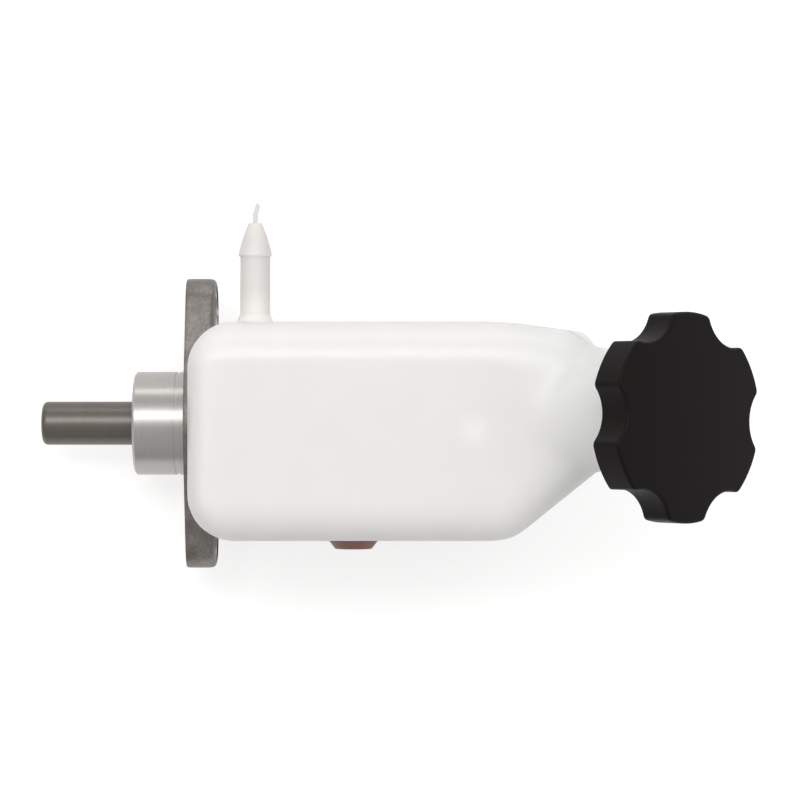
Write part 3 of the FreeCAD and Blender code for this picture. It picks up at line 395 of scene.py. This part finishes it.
materials = {
    "cast_aluminium": castAluminium,
    "anodised_aluminium": hardAnodised,
    "milky_plastic": milkyPlastic,
    # patented spring wire: drawn, oiled, bluish grey with lengthways scuffs
    "spring_steel": grainedMaterial("patentedSpringWire", {
        "pale": "#8d8d90", "dark": "#6a6a6e", "cloud": 2.0, "grain": 0.3, "roughness": 0.32,
        "bump": 0.01, "metallic": 1.0}),
    # bright zinc plate over stamped and turned steel: pale, slightly blue, faintly pitted
    "zinc_plated_steel": grainedMaterial("zincPlatedSteel", {
        "pale": "#c6c8cc", "dark": "#a9abb0", "cloud": 3.0, "grain": 0.35, "roughness": 0.3,
        "bump": 0.01, "metallic": 1.0}),
    # EPDM, compression moulded: matt black with a bloom that greys it in patches
    "black_rubber": grainedMaterial("epdmRubber", {
        "pale": "#222121", "dark": "#171616", "cloud": 5.0, "grain": 0.4, "roughness": 0.62,
        "bump": 0.03}),
    # glass-filled nylon guide: near black, with the dull skin that short fibres leave
    "guide_plastic": grainedMaterial("glassFilledNylon", {
        "pale": "#302f2e", "dark": "#242322", "cloud": 4.0, "grain": 0.3, "roughness": 0.5,
        "bump": 0.02}),
    # acetal strainer: waxy off-white, smooth from a polished mould
    "strainer_plastic": grainedMaterial("mouldedAcetal", {
        "pale": "#e0ddd6", "dark": "#d3cfc6", "cloud": 8.0, "grain": 0.8, "roughness": 0.4,
        "bump": 0.01, "shader": {"Subsurface Weight": 0.3, "Subsurface Scale": 1.5 * mm}}),
    # black polypropylene cap from a spark-eroded mould: an even fine grain that breaks up its gloss
    "black_plastic": grainedMaterial("sparkErodedPolypropylene", {
        "pale": "#130e0d", "dark": "#0e0a09", "cloud": 14.0, "grain": 0.32, "roughness": 0.5,
        "bump": 0.03, "shader": {"Specular IOR Level": 0.12}}),
    # brown polyethylene transit caps: soft, waxy, with flow marks
    "brown_plastic": grainedMaterial("brownPolyethylene", {
        "pale": "#8f645a", "dark": "#80574d", "cloud": 4.0, "grain": 0.7, "roughness": 0.48,
        "bump": 0.02, "shader": {"Subsurface Weight": 0.15, "Subsurface Scale": 1.0 * mm}}),
    # closed-cell nitrile foam float: charcoal, with open pores where it was cut
    "float_foam": grainedMaterial("nitrileFoam", {
        "pale": "#34322f", "dark": "#1f1e1c", "cloud": 0.9, "grain": 0.6, "roughness": 0.8,
        "bump": 0.15}),
    # sintered ferrite ring: slate grey with pressed-powder grain and chipped edges
    "magnet_ferrite": grainedMaterial("sinteredFerrite", {
        "pale": "#3a3b3f", "dark": "#2a2b2e", "cloud": 1.2, "grain": 0.3, "roughness": 0.55,
        "bump": 0.03, "metallic": 0.3}),
    # brass blades stamped from strip, with a warm tarnish
    "contact_brass": grainedMaterial("stampedBrass", {
        "pale": "#d3b26b", "dark": "#b7934c", "cloud": 1.5, "grain": 0.2, "roughness": 0.3,
        "bump": 0.008, "metallic": 1.0}),
}
slots = {entry["node"]: entry["material_slot"] for entry in frame["record"]["subparts"]}
for name, node in nodes.items():
    coat(node, materials[slots[name]])
print("materials made:", len(bpy.data.materials))

# the casting: stock shapes are fused and softened as a mould leaves them, then machined
casting = {
    "barrel": 20.0, "nose": 17.0, "noseTaper": 22.0, "noseRound": 5.0, "noseSteps": 8,
    "stock": 0.8,  # what the mould leaves for the cutter to take off
    "ribHalfWidth": 2.5, "ribFrom": 1.0, "bossRoot": 5.0,
    "inlets": (17.0, 80.0), "inletBoss": 13.0, "inletTop": 31.0,  # places along X, radius, height
    "outlets": ((61.5, 44.5), (112.5, 34.5)),  # (place along X, distance of the face from the bore)
    "outletBoss": 10.5, "outletNeck": 7.8, "outletNeckLength": 8.5,
    "lug": ((42.0, -6.0, 5.0), (54.0, 6.0, 31.7)),
    "ear": 11.0, "middle": 24.0, "studReach": 42.5, "flange": 11.0, "flangeRound": 1.8,
    "flangeRoundSteps": 5, "crown": 0.9, "crownSlope": 3.0,
    "voxel": 0.85, "smoothing": 5,
}
noseEnd = bodyHigh.x
stock = casting["stock"]
taperStart = noseEnd - casting["noseTaper"]
noseRound = casting["noseRound"]
taper = (casting["barrel"] - casting["nose"]) / casting["noseTaper"]
roundedTo = casting["nose"] + taper * noseRound - noseRound
barrelSteps = [(-stock, casting["barrel"]), (taperStart, casting["barrel"])]
for i in range(casting["noseSteps"] + 1):  # a quarter round at the nose
    angle = math.radians(90 * i / casting["noseSteps"])
    barrelSteps.append((noseEnd - noseRound + noseRound * math.sin(angle),
                        roundedTo + noseRound * math.cos(angle)))
cast = [
    turnPiece("barrel", barrelSteps, alongBore),
    blockPiece("bellyRib", (casting["ribFrom"], -casting["ribHalfWidth"], bodyLow.z),
               (taperStart, casting["ribHalfWidth"], 0.0)),
    blockPiece("pinLug", *casting["lug"]),
]
for x in casting["inlets"]:
    cast.append(turnPiece("inletBoss", [
        (casting["bossRoot"], casting["inletBoss"]),
        (casting["inletTop"] + stock, casting["inletBoss"])], upright, (x, 0, 0)))
for x, face in casting["outlets"]:
    step = face - casting["outletNeckLength"]
    cast.append(turnPiece("outletBoss", [
        (casting["bossRoot"], casting["outletBoss"]), (step, casting["outletBoss"]),
        (step, casting["outletNeck"]), (face + stock, casting["outletNeck"])],
        towardsMinusY, (x, 0, 0)))

# flange: the hull round two ears and a round middle, rounded on its front edge
flangeMiddle = (casting["flange"] - stock) / 2
flangeDepth = casting["flange"] + stock
deselectAll()
bpy.ops.mesh.primitive_cylinder_add(vertices=96, radius=casting["middle"] * mm,
                                    depth=flangeDepth * mm, rotation=alongBore)
flange = settle(bpy.context.object)
bpy.ops.object.mode_set(mode="EDIT")
for side in (-1, 1):
    bpy.ops.mesh.primitive_cylinder_add(
        vertices=48, radius=casting["ear"] * mm, depth=flangeDepth * mm,
        location=(0, side * casting["studReach"] * mm, 0), rotation=alongBore)
bpy.ops.mesh.select_all(action="SELECT")
bpy.ops.mesh.convex_hull()
bpy.ops.mesh.select_all(action="SELECT")
bpy.ops.mesh.dissolve_limited(angle_limit=math.radians(0.5))
front = flangeDepth / 2 * mm - closeBy
pick(flange, "edges", lambda edge, middle: all(vert.co.x > front for vert in edge.verts))
bpy.ops.mesh.bevel(offset=casting["flangeRound"] * mm, segments=casting["flangeRoundSteps"],
                   profile=0.5, affect="EDGES")
bpy.ops.object.mode_set(mode="OBJECT")
flange.location = (flangeMiddle * mm, 0, 0)
cast.append(settle(flange))
cast.append(turnPiece("flangeCrown", [
    (casting["flange"] - spare, casting["middle"]), (casting["flange"], casting["middle"]),
    (casting["flange"] + casting["crown"], casting["middle"] - casting["crownSlope"])], alongBore))
castBody = joinPieces("castBody", cast)
applyModifier(castBody, "REMESH", mode="VOXEL", voxel_size=casting["voxel"] * mm)
applyModifier(castBody, "SMOOTH", factor=0.5, iterations=casting["smoothing"])
coat(castBody, castAluminium)
print("casting moulded:", len(castBody.data.polygons), "faces")

# what is turned, drilled and faced on the casting: a pair is a start and an end along an axis,
# and every other number is a radius, a place or a depth
machining = {
    "faceCut": ((-5.0, -60.0, -40.0), (0.0, 60.0, 40.0)),
    "spigot": 19.05, "chamfer": 0.8, "relief": ((-3.9, -2.4), 18.75),
    "mouth": 14.0, "mouthChamfer": 0.5, "mouthFloor": -6.0, "ringGroove": ((-17.65, -16.35), 14.9),
    "bore": 11.9,
    "grooves": (((11.0, 18.6), 13.4), ((22.0, 28.0), 15.5), ((29.4, 66.6), 12.6),
                ((68.0, 74.0), 15.5), ((75.4, 84.6), 13.4), ((86.0, 92.0), 15.5),
                ((93.4, 116.0), 12.6)),
    "pocket": 10.5, "pocketFloor": 22.2, "feedHole": 2.5, "facing": 14.5,
    "port": 4.5, "portDepth": 13.0, "portThread": 4.95, "threadPitch": 1.0, "threadRunout": 0.8,
    "portChamfer": 0.3, "drill": 1.5, "outletFacing": 9.5, "faceAbove": 3.0,
    "studHole": 4.5, "studFrom": -2.0, "spotFace": 8.6, "spotDepth": 0.5, "spotAbove": 4.0,
    "pinHole": 2.1, "pinReach": 8.0, "pinPlace": (48.0, 0.0, 26.5),
}
spigotEnd = bodyLow.x
facing = blockPiece("mountingFaceCut", *machining["faceCut"])
radius, chamfer = machining["spigot"], machining["chamfer"]
(reliefFrom, reliefTo), reliefRadius = machining["relief"]
spigot = turnPiece("pilotSpigot", [
    (spigotEnd, radius - chamfer), (spigotEnd + chamfer, radius), (reliefFrom, radius),
    (reliefFrom, reliefRadius), (reliefTo, reliefRadius), (reliefTo, radius), (spare, radius)],
    alongBore, sides=160)
mouth, chamfer, bore = machining["mouth"], machining["mouthChamfer"], machining["bore"]
(grooveFrom, grooveTo), grooveRadius = machining["ringGroove"]
boreSteps = [
    (spigotEnd - spare, mouth + chamfer + spare), (spigotEnd, mouth + chamfer),
    (spigotEnd + chamfer, mouth), (grooveFrom, mouth), (grooveFrom, grooveRadius),
    (grooveTo, grooveRadius), (grooveTo, mouth), (machining["mouthFloor"], mouth),
    (machining["mouthFloor"], bore)]
for (start, end), radius in machining["grooves"]:
    boreSteps += [(start, bore), (start, radius), (end, radius), (end, bore)]
cutters = [turnPiece("boreCut", boreSteps, alongBore, sides=128)]
for x in casting["inlets"]:
    top = casting["inletTop"]
    cutters.append(turnPiece("inletCut", [
        (bore - spare, machining["feedHole"]), (machining["pocketFloor"], machining["feedHole"]),
        (machining["pocketFloor"], machining["pocket"]), (top, machining["pocket"]),
        (top, machining["facing"]), (top + machining["faceAbove"], machining["facing"])],
        upright, (x, 0, 0)))
port, thread, pitch = machining["port"], machining["portThread"], machining["threadPitch"]
for x, face in casting["outlets"]:
    threadFrom = face - machining["portDepth"]
    portSteps = [(bore - spare, machining["drill"]), (threadFrom, machining["drill"]),
                 (threadFrom, port)]
    for i in range(int(machining["portDepth"] / pitch) - 1):
        low = threadFrom + machining["threadRunout"] + i * pitch
        portSteps += [(low, port), (low + pitch / 2, thread)]
    portSteps += [(face, thread + machining["portChamfer"]), (face, machining["outletFacing"]),
                  (face + machining["faceAbove"], machining["outletFacing"])]
    cutters.append(turnPiece("outletCut", portSteps, towardsMinusY, (x, 0, 0), sides=64))
spotX = casting["flange"] - machining["spotDepth"]
for side in (-1, 1):
    cutters.append(turnPiece("studCut", [
        (machining["studFrom"], machining["studHole"]), (spotX, machining["studHole"]),
        (spotX, machining["spotFace"]), (spotX + machining["spotAbove"], machining["spotFace"])],
        alongBore, (0, side * casting["studReach"], 0), sides=64))
cutters.append(turnPiece("pinCut", [
    (-machining["pinReach"], machining["pinHole"]), (machining["pinReach"], machining["pinHole"])],
    towardsPlusY, machining["pinPlace"], sides=48))
for piece in [facing, spigot] + cutters:  # a cut face takes its cutter's material
    piece.data.materials.append(turnedAluminium)
combine(castBody, [facing], "DIFFERENCE")
combine(castBody, [spigot], "UNION")
combine(castBody, cutters, "DIFFERENCE")
smoothShade(castBody, 32)
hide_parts("cylinder_body")
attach(castBody, "housing")
print("casting machined:", len(castBody.data.polygons), "faces")

# reservoir top: one soft moulding from its seam to the filler neck
reservoirTop = {
    # plans as stations from rear to front, ((x, y) on the -Y side, (x, y) on the +Y side), and the
    # corners to round as (x, y, how far back along its sides)
    "whole": (
        (((4.1, -40.9), (4.1, 36.2)), ((117.7, -40.9), (115.0, 36.2)),
         ((148.0, -16.4), (143.6, 32.5)), ((159.0, -15.45), (147.2, 27.6)),
         ((170.0, -14.5), (170.0, 22.0))),
        ((4.1, -40.9, 16.5), (4.1, 36.2, 16.5), (117.7, -40.9, 5.4), (115.0, 36.2, 7.1),
         (148.0, -16.4, 0.7), (143.6, 32.5, 3.0), (147.2, 27.6, 0.7), (170.0, -14.5, 15.3),
         (170.0, 22.0, 12.5))),
    "chamber": (
        (((4.1, -40.9), (4.1, 36.2)), ((117.7, -40.9), (115.0, 36.2)),
         ((148.0, -16.4), (148.5, 31.9))),
        ((4.1, -40.9, 16.5), (4.1, 36.2, 16.5), (117.7, -40.9, 5.4), (115.0, 36.2, 7.1),
         (148.0, -16.4, 7.2), (148.5, 31.9, 13.6))),
    "sump": (
        (((126.0, -18.3), (126.0, 32.8)), ((170.0, -14.5), (170.0, 22.0))),
        ((126.0, -18.3, 16.5), (126.0, 32.8, 19.5), (170.0, -14.5, 14.6), (170.0, 22.0, 12.0))),
    "cornerSteps": 14, "seam": 55.0, "crest": 74.0, "below": 4.0, "wall": 2.5,
    "lip": 0.4, "lipHeight": 1.5, "lipOverlap": 0.4,
    "shoulder": 13.0, "rearShoulder": 8.0, "rearUpTo": 60.0, "shoulderSteps": 10,
    "voxel": 1.0, "stop": 4.5, "stopFrom": 60.5, "stopSink": 1.5, "stopPlace": (104.0, -2.0, 0.0),
}
# the filler neck: distances are along its axis, upwards from its point
neck = {
    "tilt": 41.5, "point": (168.6, 2.65, 88.0), "radius": 18.5, "top": 5.6, "topSpare": 2.0,
    "root": -44.0, "tubeFrom": -38.0, "flareFrom": -20.0, "flareCurve": 37.0, "flareSteps": 10,
    "footInset": 0.5, "threadRoot": 18.1, "threadCrest": 20.0, "threadStart": 0.9,
    "threadPitch": 4.0, "threadTurns": 0.92, "threadBase": 1.4, "threadTip": 0.8,
    "threadSteps": 72,
}
# where the moulding is smoothed, and how often: the effect grows from nothing at the first value
# of a pair to all of it at the second, along the neck, in height and out from the neck's axis
softening = {
    "skin": {"passes": 8, "alongNeck": (-2, -8), "height": (55, 58)},
    "neckRoot": {"passes": 110, "alongNeck": (-6, -12), "height": (58, 63), "fromAxis": (40, 30)},
}
neckTurn = (0, math.radians(neck["tilt"]), 0)
neckAxis = Vector((math.sin(neckTurn[1]), 0, math.cos(neckTurn[1])))
neckPoint = Vector(neck["point"])


def planPiece(name, plan, low, high, inset, shouldered=False):
    # a plane 1 mm wide whose front edge is extruded from station to station, made one face,
    # rounded at its corners, drawn in all round by inset and raised
    stations, corners = reservoirTop[plan]
    deselectAll()
    bpy.ops.mesh.primitive_plane_add(size=mm, location=(0, 0, low * mm))
    piece = settle(bpy.context.object)
    piece.name = name
    bpy.ops.object.mode_set(mode="EDIT")

    def moveCorner(fromPlace, toPlace):
        pick(piece, "verts", lambda vert, middle: (vert.co - fromPlace).length < closeBy)
        bpy.ops.transform.translate(value=toPlace - fromPlace)

    for across, side in ((-0.5, 0), (0.5, 1)):
        for ahead, station in ((0.5, stations[1]), (-0.5, stations[0])):
            moveCorner(Vector((ahead, across, low)) * mm, Vector((*station[side], low)) * mm)
    for before, after in zip(stations[1:], stations[2:]):
        ends = [Vector((*point, low)) * mm for point in before]
        pick(piece, "edges", lambda edge, middle: all(
            min((vert.co - end).length for end in ends) < closeBy for vert in edge.verts))
        bpy.ops.mesh.extrude_region_move(TRANSFORM_OT_translate={"value": (mm, 0, 0)})
        for side in (0, 1):
            moveCorner(ends[side] + Vector((mm, 0, 0)), Vector((*after[side], low)) * mm)
    pick(piece, "edges", lambda edge, middle: len(edge.link_faces) == 2)
    if len(stations) > 2:
        bpy.ops.mesh.dissolve_edges(use_verts=False)
    for x, y, reach in corners:
        corner = Vector((x, y, low)) * mm
        pick(piece, "verts", lambda vert, middle: (vert.co - corner).length < closeBy)
        bpy.ops.mesh.bevel(offset=reach * mm, segments=reservoirTop["cornerSteps"], profile=0.5,
                           affect="VERTICES")
    bpy.ops.mesh.select_mode(type="FACE")
    bpy.ops.mesh.select_all(action="SELECT")
    if inset:
        bpy.ops.mesh.inset(thickness=inset * mm)
        bpy.ops.mesh.select_all(action="INVERT")
        bpy.ops.mesh.delete(type="FACE")
        bpy.ops.mesh.select_all(action="SELECT")
    shoulder = reservoirTop["shoulder"] if shouldered else 0.0
    rise = (0, 0, (high - shoulder - low) * mm)
    bpy.ops.mesh.extrude_region_move(TRANSFORM_OT_translate={"value": rise})
    if shouldered:  # a quarter round, drawn back at the rear where it is smaller
        steps = reservoirTop["shoulderSteps"]
        slack = 1 - reservoirTop["rearShoulder"] / shoulder
        rear = reservoirTop["rearUpTo"] * mm
        level = (high - shoulder) * mm
        for i in range(steps):
            a, b = [math.radians(90.0 * k / steps) for k in (i, i + 1)]
            stepIn = shoulder * (math.cos(a) - math.cos(b)) * mm
            stepUp = shoulder * (math.sin(b) - math.sin(a)) * mm
            bpy.ops.mesh.inset(thickness=stepIn)
            bpy.ops.transform.translate(value=(0, 0, stepUp))
            level += stepUp
            if plan == "chamber":
                pick(piece, "verts", lambda vert, middle: (
                    vert.co.z > level - closeBy and vert.co.x < rear))
                bpy.ops.transform.translate(value=(-stepIn * slack, 0, 0))
                pick(piece, "faces", lambda face, middle: middle.z > level - closeBy)
    faceOutwards()
    bpy.ops.object.mode_set(mode="OBJECT")
    return piece


# two shouldered chambers, the neck's flared foot and its tube are fused into one skin
seam, lip = reservoirTop["seam"], reservoirTop["lip"]
low = seam - reservoirTop["below"]
chamber = planPiece("chamber", "chamber", low, reservoirTop["crest"], lip, True)
sump = planPiece("sump", "sump", low, reservoirTop["crest"], lip, True)
flareSpan = neck["flareFrom"] - neck["root"]
flareSteps = []
for i in range(neck["flareSteps"] + 1):
    distance = flareSpan * (1 - i / neck["flareSteps"])
    growth = neck["flareCurve"] - math.sqrt(neck["flareCurve"] ** 2 - distance ** 2)
    flareSteps.append((neck["flareFrom"] - distance, neck["radius"] + growth))
neckFoot = turnPiece("neckFoot", flareSteps, neckTurn, neck["point"])
footRoom = planPiece("footRoom", "whole", low, neckPoint.z, lip + neck["footInset"])
combine(neckFoot, [footRoom], "INTERSECT")
neckTube = turnPiece("neckTube", [(neck["tubeFrom"], neck["radius"]),
                                  (neck["top"] + neck["topSpare"], neck["radius"])],
                     neckTurn, neck["point"])
softTop = joinPieces("softReservoirTop", [chamber, sump, neckFoot, neckTube])
applyModifier(softTop, "REMESH", mode="VOXEL", voxel_size=reservoirTop["voxel"] * mm)


def ramp(value, start, end):
    return min(1.0, max(0.0, (value - start) / (end - start)))


def softness(point, zone):
    along = (point - neckPoint).dot(neckAxis)
    share = ramp(along, *zone["alongNeck"]) * ramp(point.z, *zone["height"])
    if "fromAxis" in zone:
        share *= ramp(((point - neckPoint) - neckAxis * along).length, *zone["fromAxis"])
    return share


for zone in softening.values():
    group = softTop.vertex_groups.new(name="softness")
    for vertex in softTop.data.vertices:
        group.add([vertex.index], softness(vertex.co / mm, zone), "REPLACE")
    applyModifier(softTop, "SMOOTH", factor=0.5, iterations=zone["passes"],
                  vertex_group=group.name)
    softTop.vertex_groups.clear()

# cut open at the seam and at the neck's mouth, and given its wall
bpy.ops.object.mode_set(mode="EDIT")
bpy.ops.mesh.select_all(action="SELECT")
bpy.ops.mesh.bisect(plane_co=(0, 0, seam * mm), plane_no=(0, 0, 1), clear_inner=True)
bpy.ops.mesh.select_all(action="SELECT")
bpy.ops.mesh.bisect(plane_co=(neckPoint + neckAxis * neck["top"]) * mm, plane_no=neckAxis,
                    clear_outer=True)
faceOutwards()
bpy.ops.object.mode_set(mode="OBJECT")
applyModifier(softTop, "SOLIDIFY", thickness=reservoirTop["wall"] * mm, offset=-1, use_rim=True)
print("reservoir top moulded:", len(softTop.data.polygons), "faces")

# weld lip round the seam
lipTop = seam + reservoirTop["lipHeight"]
weldLip = planPiece("weldLip", "whole", seam, lipTop, 0)
lipRoom = planPiece("lipRoom", "whole", seam - spare, lipTop + spare,
                    lip + reservoirTop["wall"] - reservoirTop["lipOverlap"])
combine(weldLip, [lipRoom], "DIFFERENCE")

# the neck's thread: a plane shaped into the thread's section and screwed round the neck
deselectAll()
bpy.ops.mesh.primitive_plane_add(size=mm, rotation=(math.radians(90), 0, 0))
neckThread = settle(bpy.context.object)
neckThread.name = "neckThread"
bpy.ops.object.mode_set(mode="EDIT")
threadDepth = neck["threadCrest"] - neck["threadRoot"]
for ahead, height in ((-0.5, neck["threadBase"]), (0.5, neck["threadTip"])):
    pick(neckThread, "verts", lambda vert, middle: abs(vert.co.x - ahead * mm) < closeBy)
    bpy.ops.transform.resize(value=(1, 1, height), center_override=(ahead * mm, 0, 0))
bpy.ops.mesh.select_all(action="SELECT")
bpy.ops.transform.resize(value=(threadDepth, 1, 1), center_override=(0, 0, 0))
bpy.ops.transform.translate(value=((neck["threadRoot"] + threadDepth / 2) * mm, 0,
                                   neck["threadStart"] * mm))
bpy.ops.mesh.delete(type="ONLY_FACE")
bpy.ops.object.mode_set(mode="OBJECT")
applyModifier(neckThread, "SCREW", axis="Z", angle=2 * math.pi * neck["threadTurns"],
              steps=neck["threadSteps"], render_steps=neck["threadSteps"],
              screw_offset=neck["threadPitch"] * neck["threadTurns"] * mm,
              use_normal_calculate=True)
bpy.ops.object.mode_set(mode="EDIT")
bpy.ops.mesh.select_all(action="SELECT")
bpy.ops.mesh.fill_holes(sides=0)
faceOutwards()
bpy.ops.object.mode_set(mode="OBJECT")
neckThread.rotation_euler = neckTurn
neckThread.location = neckPoint * mm
settle(neckThread)

# the stop over the level float's post
floatStop = turnPiece("floatStop", [
    (reservoirTop["stopFrom"], reservoirTop["stop"]),
    (reservoirTop["crest"] - reservoirTop["stopSink"], reservoirTop["stop"])],
    upright, reservoirTop["stopPlace"], sides=48)
combine(softTop, [weldLip, neckThread, floatStop], "UNION")
coat(softTop, milkyPlastic)
smoothShade(softTop, 40)
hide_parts("reservoir_upper")
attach(softTop, "housing")
print("reservoir top finished:", len(softTop.data.polygons), "faces")

# return springs: coils of oiled wire with a closed turn at each end
wire = {"thickness": 2.0, "closedPitch": 2.06, "sides": 16, "stepsPerTurn": 40, "weld": 0.01}
springs = {
    # node: (name, turns, body it rides, joint that shortens it, how much shorter it gets at that
    # joint's limit, place along X of the end that stays put)
    "primary_spring": ("primarySpringCoil", 8, "secondary_piston", "primary_slide", 16.0, 59.5),
    "secondary_spring": ("secondarySpringCoil", 7, "housing", "secondary_slide", 16.0, 116.0),
}


def coilRun(start, pitch, turns, radius):  # a ring of wire screwed upwards from start
    deselectAll()
    bpy.ops.mesh.primitive_circle_add(
        vertices=wire["sides"], radius=wire["thickness"] / 2 * mm,
        location=(radius * mm, 0, start * mm), rotation=(math.radians(90), 0, 0))
    run = settle(bpy.context.object)
    applyModifier(run, "SCREW", axis="Z", angle=2 * math.pi, steps=wire["stepsPerTurn"],
                  render_steps=wire["stepsPerTurn"], iterations=turns, screw_offset=pitch * mm,
                  use_merge_vertices=False)
    return run


for name, (coilName, turns, body, joint, shortening, fixedEnd) in springs.items():
    low, high = [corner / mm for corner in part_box(name)]
    radius = (high.y - low.y - wire["thickness"]) / 2
    closed = wire["closedPitch"]
    span = high.x - low.x - wire["thickness"]
    openTurns = turns - 2
    coil = joinPieces(coilName, [
        coilRun(0, closed, 1, radius),
        coilRun(closed, (span - 2 * closed) / openTurns, openTurns, radius),
        coilRun(span - closed, closed, 1, radius)])
    bpy.ops.object.mode_set(mode="EDIT")
    bpy.ops.mesh.select_all(action="SELECT")
    bpy.ops.mesh.remove_doubles(threshold=wire["weld"] * mm)
    bpy.ops.mesh.fill_holes(sides=0)
    faceOutwards()
    bpy.ops.object.mode_set(mode="OBJECT")
    coil.rotation_euler = alongBore
    coil.location = ((low.x + wire["thickness"] / 2) * mm, 0, 0)
    settle(coil)
    coat(coil, materials["spring_steel"])
    smoothShade(coil, 40)
    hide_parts(name)
    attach(coil, body)
    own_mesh(coil)
print("springs wound:", list(springs))

# floor, lamps and surroundings: lift whitens the floor for the camera, in reflections and through
# clear pieces, and lights nothing. The world's light goes from low on the -Y side to high on the
# +Y side, and dims towards the horizon; across and up are the parts of a direction over which it
# changes.
studio = {
    "floorGap": 0.002, "floorSize": 40.0, "floor": "#b6b5b4", "lift": 0.67, "white": "#ffffff",
    "worldLow": 0.69, "worldHigh": 0.8, "across": (-0.9, 0.8), "horizon": 0.72, "up": (0.0, 0.6),
}
floorZ = cadBounds[0][2] - studio["floorGap"]
deselectAll()
bpy.ops.mesh.primitive_plane_add(size=studio["floorSize"], location=(view["x"], view["y"], floorZ))
floor = bpy.context.object
floor.name = "floor"
floorLook, tree = newMaterial("paleFloor")
rays = addNode(tree, "ShaderNodeLightPath").outputs
mirrored = addNode(tree, "ShaderNodeMath", {
    0: rays["Is Glossy Ray"], 1: rays["Is Transmission Ray"]}, operation="MAXIMUM").outputs[0]
seen = addNode(tree, "ShaderNodeMath", {
    0: rays["Is Camera Ray"], 1: mirrored}, operation="MAXIMUM").outputs[0]
matte = addNode(tree, "ShaderNodeBsdfDiffuse", {
    "Color": linearColour(studio["floor"])}).outputs["BSDF"]
glow = addNode(tree, "ShaderNodeEmission", {
    "Color": linearColour(studio["white"]), "Strength": studio["lift"]}).outputs["Emission"]
lifted = addNode(tree, "ShaderNodeAddShader", {0: matte, 1: glow}).outputs[0]
finishMaterial(tree, addNode(tree, "ShaderNodeMixShader", {
    0: seen, 1: matte, 2: lifted}).outputs[0])
floor.data.materials.append(floorLook)

world = bpy.data.worlds.new("studio")
bpy.context.scene.world = world
world.use_nodes = True
tree = world.node_tree
tree.nodes.clear()
direction = addNode(tree, "ShaderNodeTexCoord").outputs["Generated"]
parts = addNode(tree, "ShaderNodeSeparateXYZ", {"Vector": direction}).outputs
across = addNode(tree, "ShaderNodeMapRange", {
    "Value": parts["Y"], "From Min": studio["across"][0], "From Max": studio["across"][1],
    "To Min": studio["worldLow"], "To Max": studio["worldHigh"]}).outputs["Result"]
height = addNode(tree, "ShaderNodeMapRange", {
    "Value": parts["Z"], "From Min": studio["up"][0], "From Max": studio["up"][1],
    "To Min": studio["horizon"], "To Max": 1.0}).outputs["Result"]
level = addNode(tree, "ShaderNodeMath", {0: across, 1: height}, operation="MULTIPLY").outputs[0]
sky = addNode(tree, "ShaderNodeBackground", {
    "Color": linearColour(studio["white"]), "Strength": level}).outputs["Background"]
addNode(tree, "ShaderNodeOutputWorld", {"Surface": sky})

lamps = {
    # name: (degrees from straight up towards +Y, distance, width along X, width across, watts)
    "overheadBox": (18.0, 1.5, 1.3, 0.4, 8.5),
    "sideBox": (76.0, 1.3, 1.2, 0.18, 2.4),
}
for name, (lean, distance, width, depth, watts) in lamps.items():
    lampData = bpy.data.lights.new(name, "AREA")
    lampData.shape = "RECTANGLE"
    lampData.size = width
    lampData.size_y = depth
    lampData.energy = watts
    lamp = bpy.data.objects.new(name, lampData)
    angle = math.radians(lean)
    lamp.location = (view["x"], view["y"] + distance * math.sin(angle),
                     distance * math.cos(angle))
    lamp.rotation_euler = (-angle, 0, 0)
    bpy.context.scene.collection.objects.link(lamp)
print("studio lit")
